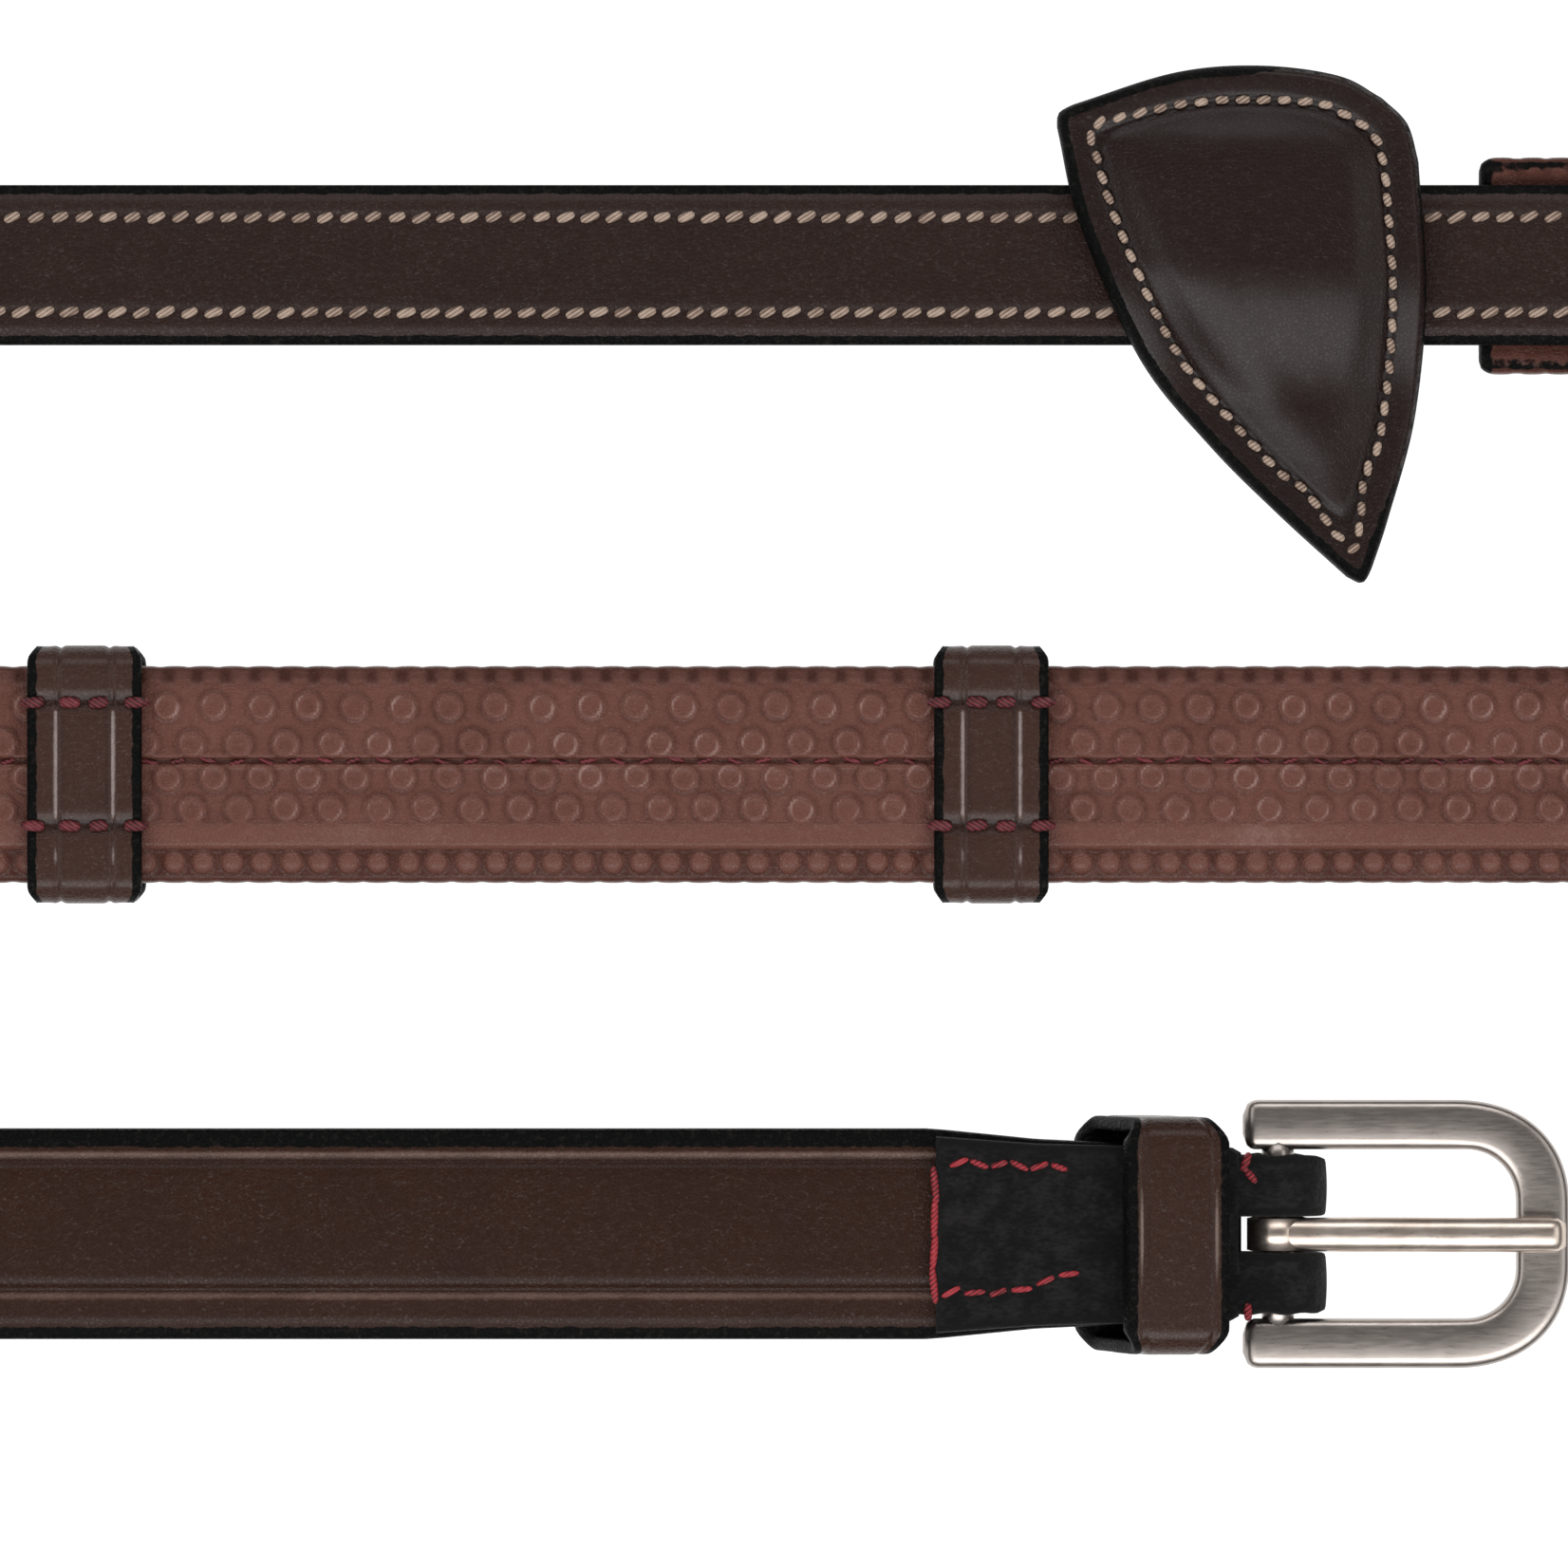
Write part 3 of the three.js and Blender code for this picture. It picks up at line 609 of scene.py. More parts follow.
def stitches(name, places, size, material, carrier, slot, seed, slant=0.0):
    """A row of stitches, one per (s, v, n) place, of the given length, width and height.

    slant, one angle or one per stitch, turns them in the plane of the leather.
    """
    places = np.asarray(places, float)
    index = np.arange(len(places))
    turn = (slant + 0.10 * wobble(index, seed))[:, None]
    length, width, height = size
    length = length * (1 + 0.09 * wobble(index, seed + 1))[:, None]
    u = GRAIN_POINTS[None, :, 0] * length
    w = GRAIN_POINTS[None, :, 1] * width
    along = u * np.cos(turn) - w * np.sin(turn)
    across = u * np.sin(turn) + w * np.cos(turn) + 0.06 * wobble(index, seed + 2)[:, None]
    through = np.broadcast_to(GRAIN_POINTS[None, :, 2] * height, along.shape)
    points = np.stack([along, across, through], axis=-1) + places[:, None]
    faces = []
    for first in index * len(GRAIN_POINTS):
        faces.extend([int(first) + corner for corner in face] for face in GRAIN_FACES)
    wear_and_painted_light = np.repeat(0.5 + 0.5 * wobble(index, seed + 3), len(GRAIN_POINTS))
    return attach(new_mesh(name, points, faces, material, wear_and_painted_light=wear_and_painted_light), carrier, slot)


def row(s, v, n):
    """Places for stitches, from an array of path lengths and the v and n of one or all of them."""
    return np.stack(np.broadcast_arrays(s, v, n), axis=-1)


def stitched_strap(part, start, end, carrier, first_stitch, last_stitch, seed):
    """One stretch of the front strap, with a row of tan stitches along each margin."""
    section = flat_section(STRAP_HALF, LINING_TOP + 0.05, strap_front, 48, 0.45)
    # The bevelled margins are set lighter: a painted reflection along both edges.
    painted_light = 0.28 + 0.3 * smooth((np.abs(section[:, 0]) - 5.4) / 1.2)
    piece = even_strap(f"strap_{part}", section, start, end, 1.0, STRAP_LEATHER, STRAP_HALF - 0.95, painted_light)
    attach(piece, carrier, "strap_leather", f"{part}_strap")
    s = np.arange(first_stitch, last_stitch, STITCH_PITCH)
    level = STRAP_FRONT - 0.2
    both = np.concatenate([row(s, STITCH_LINE, level), row(s + 0.9, -STITCH_LINE, level)])
    stitches(f"stitches_{part}", both, STITCH_SIZE, TAN_THREAD, carrier, "tan_thread", seed, STITCH_SLANT)


stitched_strap("cheek", 0.0, FIRST_SPLICE, RIGHT_BEND, 2.5, FIRST_SPLICE - 1, 1)
stitched_strap("grip", FIRST_SPLICE, LAST_SPLICE, "grip", FIRST_SPLICE + 0.5, LAST_SPLICE - 1, 5)
stitched_strap("tail", LAST_SPLICE, TAIL_END, LEFT_BEND, LAST_SPLICE + 0.5, TAIL_END - 3, 9)

lining_section = flat_section(STRAP_HALF - 0.1, 0.0, lambda v: LINING_TOP + 0 * v, 12, 0.45)
lining_end = GRIP_AT - LAYER_GAP
lining = even_strap("lining", lining_section, 0.0, lining_end, 1.5, LINING_LEATHER, STRAP_HALF - 0.5, 0.5)
attach(lining, "cheek", "lining_leather", "cheek_lining")


# ---------- the grip: embossed sleeve and its seam ----------

DOT_PITCH = 4.68
DOT_ROWS = (6.8, 3.1, -0.25, -3.4)
DOT_RADIUS = 1.28
BEAD_PITCH = 2.92
BEAD_LINE = -8.75
SEAM_LINE = 1.35
SEAM_STITCH = (1.7, 0.42, 0.42)
RIDGE = (-7.2, -5.05)
GRIP_STEP = 0.26
GRIP_COLUMNS_BACK = 84
GRIP_COLUMNS_FRONT = 30


def dots(s, v):
    """Rows of raised discs, every other row moved on by half a pitch: height, and painted highlights on rims
    with painted shade round them.
    """
    height, painted_light = np.zeros_like(v), np.zeros_like(v)
    for row_number, line in enumerate(DOT_ROWS):
        turn = s / DOT_PITCH + 0.5 * (row_number % 2)
        index = np.round(turn)
        ds = (turn - index) * DOT_PITCH + 0.12 * wobble(index, row_number + 2)
        dv = v - line - 0.12 * wobble(index, row_number + 7)
        r = np.hypot(ds, dv)
        disc = 1 - smooth((r - DOT_RADIUS + 0.22) / 0.44)
        rim = dent(r - DOT_RADIUS + 0.2, 1.0, 0.22)
        height += disc * (0.24 + 0.04 * wobble(index, row_number + 11)) + 0.11 * rim
        # lit sets where each rim gets its painted highlight crescent; the dent after it is a thin painted
        # shade round the disc.
        lit = 0.62 + 0.38 * np.sin(np.arctan2(dv, ds) * 2 + 0.6) + 0.2 * wobble(index, row_number + 17)
        painted_light += 0.60 * rim * lit - dent(r - DOT_RADIUS - 0.3, 0.15, 0.28)
    return height, painted_light


def beads(s, v, line, half):
    """A row of small domes along the edge of the grip, each from 0 to 1 at its top."""
    index = np.round(s / BEAD_PITCH)
    ds = s - index * BEAD_PITCH + 0.12 * wobble(index, 21)
    reach = np.abs(ds / 1.18) ** 2.3 + np.abs((v - line) / half) ** 2.3
    return np.clip(1 - reach, 0, 1) ** 0.6


def grip_back(s, v):
    """The sleeve's embossed back: height above its flat level, outwards, and its wear and painted light
    level.
    """
    crown = -0.42 * (v / GRIP_HALF) ** 2 - 1.1 * smooth((v - 8.4) / (GRIP_HALF - 8.4)) ** 1.3
    ridge = 0.36 * smooth((v - RIDGE[0] + 0.35) / 0.45) * (1 - smooth((v - RIDGE[1] - 0.05) / 0.4))
    rounded = 0.1 * np.sqrt(np.clip(1 - ((v - sum(RIDGE) / 2) / 1.1) ** 2, 0, 1))
    below = -0.32 * (1 - smooth((v - RIDGE[0] + 0.5) / 0.5))
    seam = -dent(v - SEAM_LINE, 0.42, 0.22) + dent(np.abs(v - SEAM_LINE) - 0.5, 0.12, 0.22)
    sunk = 0.06 * np.sin(s / 7.3) * np.sin(v * 0.7 + s / 13.1)
    edge = 0.5 * beads(s, v, BEAD_LINE, 1.12) + 0.3 * beads(s + 0.8, v, 9.9, 0.9)
    discs, painted_light = dots(s, v)
    height = crown + ridge + ridge * rounded + below + seam + sunk + discs + edge
    # Painted highlights on disc rims, the ridge, the seam's shoulders and the bead tops; painted shade in the
    # seam and below the ridge.
    wear_and_painted_light = 0.38 + painted_light + 0.75 * ridge + 1.1 * seam + 0.95 * edge + 0.8 * below
    # Painted shade towards the upper edge.
    return height, wear_and_painted_light - 0.35 * smooth((v - 8.6) / 1.2)


def grip_front(s, v):
    """Height of the sleeve's front, which shows as a margin on each side of the strap."""
    reach = np.abs(v)
    channel = -dent(reach - 8.35, 0.25, 0.2)
    shoulder = -0.5 * smooth((reach - 9.3) / (GRIP_HALF - 9.3))
    return channel + shoulder + 0.2 * beads(s, reach, 10.0, 0.8)


def grip_rings(s):
    """A section of the sleeve at each path length in s: (v, n), with each point's wear and painted light
    level and paint.
    """
    s = s[:, None]
    corner = 0.55
    reach = GRIP_HALF - corner
    v = np.linspace(-reach, reach, GRIP_COLUMNS_BACK) + 0 * s
    w = np.linspace(reach, -reach, GRIP_COLUMNS_FRONT) + 0 * s
    back, relief = grip_back(s + 0 * v, v)
    front = grip_front(s + 0 * w, w)
    n_back = GRIP_BACK + 0.5 - back
    n_front = LINING_TOP - 0.1 + front
    turn = np.linspace(0, math.pi, 8)[1:-1]
    scallop = 0.10 * beads(s, np.full_like(s, BEAD_LINE), BEAD_LINE, 1.3)
    v_edge = reach + (corner + scallop) * np.sin(turn) ** 0.6

    def edge_levels(low, high):
        return (low + high) / 2 - (high - low) / 2 * np.cos(turn)

    n_right = edge_levels(n_back[:, -1:], n_front[:, :1])
    n_left = edge_levels(n_back[:, :1], n_front[:, -1:])[:, ::-1]
    v_all = np.concatenate([v, v_edge, w, -v_edge], axis=1)
    section = np.stack([v_all, np.concatenate([n_back, n_right, n_front, n_left], axis=1)], axis=-1)
    plain = np.zeros_like(v_edge)
    margin = 0.7 * smooth((np.abs(w) - 8.9) / 1.0)
    paint = np.concatenate([0 * v, plain, margin, plain], axis=1)
    # The rounded edges and the front margins are set darker; on the front, painted shade in the channel and
    # where it falls away, painted highlight on its beads.
    wear_and_painted_light = np.concatenate([relief, plain + 0.2, 0.12 + 0.9 * front, plain + 0.2], axis=1)
    return section, np.clip(wear_and_painted_light, 0, 1), paint


def grip_sleeve(name, start, end, carrier, nodes):
    """One run of the sleeve, painted dark where the grip begins and ends."""
    end_radius = 1.3
    places = stations(start, end, GRIP_STEP, end_radius)
    section, wear_and_painted_light, margin = grip_rings(places)
    along = np.broadcast_to(places[:, None, None], section.shape[:2] + (1,))
    grid = round_ends(np.concatenate([along, section], axis=-1), end_radius)
    ends = np.minimum(places - GRIP_AT, GRIP_END - places)
    paint = np.maximum((1 - smooth((ends - 0.7) / 0.9))[:, None], margin)
    attach(closed_grid(name, grid, GRIP_LEATHER, paint, wear_and_painted_light), carrier, "grip_leather", *nodes)


def seam_thread(name, start, end, carrier, seed):
    s = np.arange(start, end, BEAD_PITCH)
    index = np.arange(len(s))
    places = row(s, SEAM_LINE + 0.12 * wobble(index, seed + 5), GRIP_BACK + 0.56)
    lean = np.where(index % 2, 0.3, -0.25)
    stitches(name, places, SEAM_STITCH, DARK_RED_THREAD, carrier, "red_thread", seed, lean)


MIDDLE_SPLICE = STOPS[3]
GRIP_RUNS = [
    ("a", GRIP_AT, FIRST_SPLICE, RIGHT_BEND, ("grip_cover_1", "grip_rubber_1")),
    ("b", FIRST_SPLICE, MIDDLE_SPLICE, "grip", ("grip_cover_2", "grip_rubber_2")),
    ("c", MIDDLE_SPLICE, LAST_SPLICE, "grip", ()),
    ("d", LAST_SPLICE, GRIP_END, LEFT_BEND, ("grip_cover_3", "grip_rubber_3")),
]
for run, (letter, run_start, run_end, run_carrier, run_nodes) in enumerate(GRIP_RUNS):
    grip_sleeve(f"grip_{letter}", run_start, run_end, run_carrier, run_nodes)
    seam_thread(f"seam_{letter}", run_start + 2, run_end - 1, run_carrier, 20 + run)


# ---------- leather loops, and the hand stops ----------

BAND_STITCH_LINES = (7.2, -5.1)
BAND_STITCH = (2.1, 1.15, 1.0)
BAND_WRAP = (0.9, 0.85, 2.1)
CREASE = 2.75
EDGE_PAINT = 1.15
LOOP_RADIUS = 1.7


def rounded_loop(half_v, low, high):
    """Points (v, n) and outward directions round a rectangle with round corners, anticlockwise."""
    flat, low, high = half_v - LOOP_RADIUS, low + LOOP_RADIUS, high - LOOP_RADIUS
    centres = np.array([(flat, high), (-flat, high), (-flat, low), (flat, low)])
    turn = np.linspace(0, 1, 8)[1:-1]
    points, outward = [], []
    for quarter, centre in enumerate(centres):
        side = np.linspace(0, 1, 46 if quarter % 2 else 8)
        share = np.concatenate([side, np.ones_like(turn)])[:, None]
        angle = (quarter + np.concatenate([0 * side, turn])) * math.pi / 2
        out = np.stack([np.cos(angle), np.sin(angle)], axis=-1)
        outward.append(out)
        points.append(centres[quarter - 1] * (1 - share) + centre * share + LOOP_RADIUS * out)
    return np.concatenate(points), np.concatenate(outward)


def band_profile(half, wall, crease, sharp):
    """The band's own section: (s offset, outward offset), its edge paint and its glint, a painted highlight
    along each crease.
    """
    bevel = 0.45
    s = np.linspace(-half + bevel, half - bevel, 41)
    s = np.sort(np.concatenate([s, [-crease, crease]]))
    from_crease = np.abs(s) - crease
    groove = dent(from_crease, 0.1 + 0.12 * sharp, 0.9 - 0.58 * sharp)
    top = wall / 2 - groove - 0.08 * smooth(from_crease / 1.5)
    turn = np.linspace(0, math.pi / 2, 4)[1:]
    right = np.stack([half - bevel + bevel * np.sin(turn), wall / 2 - bevel * (1 - np.cos(turn))], axis=-1)
    lower = right[::-1] * (1, -1)
    under = np.stack([np.linspace(half - bevel, -half + bevel, 5), np.full(5, -wall / 2)], axis=-1)
    outer = np.stack([s, top], axis=-1)
    profile = np.concatenate([outer, right, lower, under, lower[::-1] * (-1, 1), right[::-1] * (-1, 1)])
    reach = np.abs(profile[:, 0])
    paint = smooth((reach - half + EDGE_PAINT) / 0.4)
    paint[profile[:, 1] < 0] = 1
    # glint: a painted highlight just outside each crease and a faint painted shade just inside it.
    glint = sharp * (dent(reach - crease - 0.12, 0.75, 0.24) - dent(reach - crease + 0.35, 0.2, 0.3))
    return profile, paint, glint


def leather_loop(
    name, centre_s, box, band, wall, material, carrier, node, style, lean=0.0, crease=CREASE, sharp=0.0
):
    """A loop of leather round the rein.

    box is its half width and its lowest and highest level. style(v, n) gives its narrowing, its
    puffing out, its wear and painted light level and how strong the painted highlights on its
    creases are. lean moves the loop along the rein by that share of its height over its middle, and
    sharp, from 0 to 1, makes its two creases narrow with strong painted highlights.
    """
    half_v, low, high = box
    middle, outward = rounded_loop(half_v - wall / 2, low + wall / 2, high - wall / 2)
    profile, paint, glint = band_profile(band / 2, wall, crease, sharp)
    narrowing, puff, wear_and_painted_light, crease_highlight = (values[:, None] for values in style(*middle.T))
    lift = profile[:, 1] + (profile[:, 1] > 0) * puff
    v = middle[:, :1] + outward[:, :1] * lift
    n = middle[:, 1:] + outward[:, 1:] * lift
    s = centre_s + profile[:, 0] * (1 - narrowing) + lean * (n - (low + high) / 2)
    faces = grid_faces(*s.shape, closed_rows=True)
    # Painted highlights along the two creases, at the strength the style gives.
    wear_and_painted_light = np.clip(wear_and_painted_light + crease_highlight * glint, 0, 1)
    grid = np.stack([s, v, n], axis=-1)
    piece = new_mesh(name, grid, faces, material, np.broadcast_to(paint, s.shape), wear_and_painted_light)
    attach(piece, carrier, "band_leather", node)


def hand_stop_style(v, n):
    """Hand stops: corners cut off at both edges of the rein, two sewn-down lines on the back."""
    narrowing = 0.15 * smooth((np.abs(v) - STOP_HALF + 1.6) / 1.2)
    on_back = n < GRIP_BACK + 0.5
    upper, lower = BAND_STITCH_LINES
    pull = dent(v - upper, 0.35, 0.8) + dent(v - lower, 0.35, 0.8)
    stitch_line_shade = dent(v - upper, 0.5, 0.55) + dent(v - lower, 0.5, 0.55)
    between = smooth((v - lower - 0.3) / 0.8) * smooth((upper - v - 0.3) / 0.8)
    flap = 0.55 * dent(v - lower + 3.0, 1.0, 1.2)
    # Painted shade along both stitch lines stands for their dark stitch holes; painted highlights on the
    # creases between the lines and a short one on the lower flap.
    return narrowing, on_back * (0.12 - pull), 0.42 - on_back * stitch_line_shade, between + flap + 0.08


def hand_stop(number):
    """One hand stop with its stitches along both sewn lines, and the wraps over its edges."""
    centre = STOPS[number - 1]
    carrier = {1: "cheek", STOP_COUNT: "hand"}.get(number, "grip")
    leather_loop(
        f"band_{number}", centre, (STOP_HALF, STOP_BACK, STOP_FRONT), STOP_BAND, STOP_WALL,
        BAND_LEATHER, carrier, f"hand_stop_{number}", hand_stop_style, sharp=1.0,
    )
    half = STOP_BAND / 2
    for kind, offsets, level, size, seed in (
        ("stitches", (-half + 0.7, -1.45, 1.45, half - 0.7), -0.02, BAND_STITCH, 39),
        ("wraps", (-half - 0.25, half + 0.25), 1.0, BAND_WRAP, 59),
    ):
        s = centre + np.array(offsets)
        places = np.concatenate([row(s, line, STOP_BACK + level) for line in BAND_STITCH_LINES])
        name = f"band_{kind}_{number}"
        stitches(name, places, size, DARK_RED_THREAD, carrier, "red_thread", seed + number)


for stop_number in range(1, STOP_COUNT + 1):
    hand_stop(stop_number)


# ---------- the rein stop ----------

face_low, face_high = box_mm("rein_stop_face")
REIN_STOP_AT = top_s((face_low[0] + face_high[0]) / 2)
SHIELD_STITCH_INSET = 3.4
SHIELD_STITCH = (1.45, 0.85, 0.6)
OUTLINE_STEP = 0.45
CORE_SHARES = [0.66, 0.76, 0.85, 0.92, 0.97]


def curve_through(points, steps):
    """A smooth curve through the given points, as many steps to each stretch."""
    points = np.array(points, float)
    points = np.vstack([2 * points[0] - points[1], points, 2 * points[-1] - points[-2]])
    t = np.linspace(0, 1, steps, endpoint=False)[:, None]
    runs = []
    for a, b, c, d in zip(points, points[1:], points[2:], points[3:]):
        even = 2 * b + (2 * a - 5 * b + 4 * c - d) * t**2
        odd = (c - a) * t + (3 * b - a - 3 * c + d) * t**3
        runs.append(0.5 * (even + odd))
    return np.concatenate(runs)


def even_points(line, spacing):
    """Points at even spacing along a closed line."""
    closed = np.vstack([line, line[:1]])
    length = lengths(closed)[-1]
    count = int(round(length / spacing))
    return at_lengths(closed, np.arange(count) * length / count)


def shield_outline():
    """The rein stop's outline, anticlockwise, about the middle of its width and the strap's centre."""
    left = [(-18.3, 13.6), (-16, 3.9), (-10.1, -9.2), (-3.1, -17.9), (3.8, -24.8), (10.6, -31)]
    tip = [(10.6, -31), (12.1, -31.6), (12.9, -30.2)]
    right = [(12.9, -30.2), (14.6, -25), (17.2, -15.1), (18.2, -3), (17.4, 10.2)]
    upper = [(17.4, 10.2), (16.3, 13.9), (13.8, 16.4)]
    top = [(13.8, 16.4), (9.5, 18.6), (1.7, 19.6), (-6.7, 18.9), (-16.9, 15.7)]
    corner = [(-16.9, 15.7), (-18.2, 14.9), (-18.3, 13.6)]
    sides = [(left, 12), (tip, 6), (right, 12), (upper, 6), (top, 12), (corner, 6)]
    return even_points(np.concatenate([curve_through(*side) for side in sides]), OUTLINE_STEP)


def nearest_on_segment(points, start, end):
    along = end - start
    t = np.clip(((points - start) @ along) / (along @ along), 0, 1)
    return start + t[:, None] * along


SHIELD = shield_outline()
SHIELD_CORE = nearest_on_segment(SHIELD, np.array([0.5, 7.0]), np.array([8.6, -20.0]))
SHIELD_REACH = np.hypot(*(SHIELD_CORE - SHIELD).T)


def inset_shield(share):
    """The outline moved in towards its core, by one share or one for each point."""
    return SHIELD + (SHIELD_CORE - SHIELD) * np.broadcast_to(share, len(SHIELD))[:, None]


def depth_inside(points, outline):
    """Distance of each point from the outline, with the crease along the middle smoothed out."""
    depth = np.empty(len(points))
    batch = 2000
    for i in range(0, len(points), batch):
        apart = np.sqrt(((points[i : i + batch, None] - outline[None]) ** 2).sum(-1))
        nearest = apart.min(1)
        mean = ((np.maximum(apart, 0.1) ** -6).sum(1) * OUTLINE_STEP * 8 / (3 * math.pi)) ** -0.2
        depth[i : i + batch] = nearest + (mean - nearest) * smooth((nearest - 1.5) / 1.5)
    return depth


def pad_height(depth):
    """Height of the padded face at a distance from its edge: bevel, border, stitched groove, pad."""
    bevel = -0.75 * np.clip(1 - depth / 0.9, 0, 1) ** 2.2
    border = -0.16 * smooth((depth - 1.1) / 1.8)
    groove = -dent(depth - SHIELD_STITCH_INSET, 0.34, 0.5)
    pad = 1.2 * smooth((depth - SHIELD_STITCH_INSET - 0.1) / 5.0)
    return bevel + border + groove + pad


def bend_stop(points):
    """The lower half of the rein stop bends down and away, with the curve of the neck it lies on."""
    points[..., 2] -= 2.7 * smooth((-points[..., 1] + 0.5) / 15)
    return points


def split_wide_faces(mesh):
    """Splits the faces that close a solid at its core into small ones, so they follow its bend."""
    work = bmesh.new()
    work.from_mesh(mesh)
    wide = [face for face in work.faces if len(face.verts) > 4]
    bmesh.ops.triangulate(work, faces=wide, ngon_method="BEAUTY")
    work.to_mesh(mesh)
    work.free()


def shield_solid(name, low, high_at, material, insets, slot, node, wear_and_painted_light_at):
    """A closed solid of the rein stop's outline from one level up to high_at(distance inside)."""
    shares = [np.minimum(inset / SHIELD_REACH, 0.5 + 0.02 * inset) for inset in insets]
    flat = np.array([inset_shield(share) for share in shares + CORE_SHARES])
    depth = depth_inside(flat.reshape(-1, 2), SHIELD).reshape(flat.shape[:2])
    depth[0] = 0
    wander = 0.02 * np.sin(flat[..., 0] * 0.9 + flat[..., 1] * 0.5) * smooth(depth / 5)
    high = high_at(depth) + wander
    side = np.linspace(low, high[0], 5)[:-1]
    bulge = np.array([0.0, 0.10, 0.12, 0.08])[:, None, None]
    outward = SHIELD - np.roll(SHIELD, 3, axis=0)
    outward = np.stack([outward[:, 1], -outward[:, 0]], axis=-1)
    outward = outward / np.hypot(*outward.T)[:, None]
    walls = np.concatenate([SHIELD[None] + bulge * outward, side[..., None]], axis=-1)
    grid = np.concatenate([walls, np.concatenate([flat, high[..., None]], axis=-1)])
    grid = bend_stop(grid + (REIN_STOP_AT, 0, 0))
    depth = np.concatenate([np.zeros(side.shape), depth])
    right_side = smooth((SHIELD[:, 0] + SHIELD[:, 1] * 0.3 - 4) / 8) + 0 * depth
    paint = 1 - smooth((depth - 0.75 + 0.55 * right_side) / 0.45)
    paint = paint * (1 - 0.6 * right_side * smooth((depth - 0.02) / 0.1))
    piece = closed_grid(name, grid, material, paint, wear_and_painted_light_at(depth, right_side))
    split_wide_faces(piece.data)
    attach(piece, "stop", slot, node)


def shield_stitches():
    """One row of tan stitches round the pad."""
    line = even_points(inset_shield(np.minimum(SHIELD_STITCH_INSET / SHIELD_REACH, 0.6)), 2.05)
    along = np.roll(line, -1, axis=0) - np.roll(line, 1, axis=0)
    slant = np.arctan2(along[:, 1], along[:, 0]) + 0.18
    places = bend_stop(row(line[:, 0] + REIN_STOP_AT, line[:, 1], face_high[2] - ROW_Z - 0.2))
    stitches("stop_stitches", places, SHIELD_STITCH, TAN_THREAD, "stop", "tan_thread", 80, slant)


def rein_stop():
    insets = [0, 0.12, 0.28, 0.5, 0.8, 1.2, 1.7, 2.2, 2.6, 2.9, 3.15, 3.4, 3.65, 3.9, 4.2, 4.6]
    insets = insets + [5.1, 5.7, 6.4, 7.2]
    base = face_low[2] - ROW_Z - 0.3
    rise = face_high[2] - ROW_Z - 0.05

    def face_wear_and_painted_light(depth, right_side):
        # A lighter line along the border, stronger towards the right: worn edge and painted highlight.
        # Painted shade in the stitch groove, and a little lighter towards the middle of the pad.
        border = 0.30 + 0.38 * dent(depth - 0.9, 1.0, 0.45) * (0.35 + 0.65 * right_side)
        groove = -dent(depth - SHIELD_STITCH_INSET, 0.3, 0.5)
        return np.clip(border + groove + 0.12 * smooth((depth - 5) / 4), 0, 1)

    shield_solid(
        "stop_face", base, lambda depth: rise + pad_height(depth), STOP_LEATHER, insets,
        "band_leather", "rein_stop_face", face_wear_and_painted_light,
    )
    lining_base, lining_top = (level[2] - ROW_Z for level in box_mm("rein_stop_lining"))
    shield_solid(
        "stop_lining", lining_base, lambda depth: lining_top - 0.02 + 0 * depth, LINING_LEATHER,
        [0, 0.5, 1.5, 4, 7], "lining_leather", "rein_stop_lining", lambda depth, right_side: 0.4,
    )
    shield_stitches()


def stop_loop():
    """The strip behind the rein stop that holds it on the cheek part: a channel with soft corners."""
    low, high = box_mm("rein_stop_loop")
    outer, wall = (high[1] - low[1]) / 2, 1.5
    back, front = low[2] - ROW_Z, high[2] - ROW_Z
    outer_radius, inner_radius = 1.2, 0.4
    corner = arc((outer - outer_radius, back + outer_radius), outer_radius, -90, 0, 6)
    inner_centre = (outer - wall - inner_radius, back + wall + inner_radius)
    inner = arc(inner_centre, inner_radius, 0, -90, 6)
    right = np.concatenate([corner, [(outer, front), (outer - wall, front)], inner])
    section = np.concatenate([right, (right * (-1, 1))[::-1]])
    places = stations(top_s(low[0]), top_s(high[0]), 1.2, 0.4)
    piece = swept_solid("stop_loop", lambda s: section, places, LINING_LEATHER, end_radius=0.4)
    attach(piece, "stop", "lining_leather", "rein_stop_loop")


rein_stop()
stop_loop()


# ---------- the bit end ----------

billet_low, billet_high = box_mm("bit_billet")
BILLET_THICKNESS = 1.6
BILLET_HALF = (billet_high[1] - billet_low[1]) / 2
UPPER_LEG = -LAYER_GAP - BILLET_THICKNESS / 2
LOWER_LEG = UPPER_LEG - BILLET_THICKNESS - LAYER_GAP


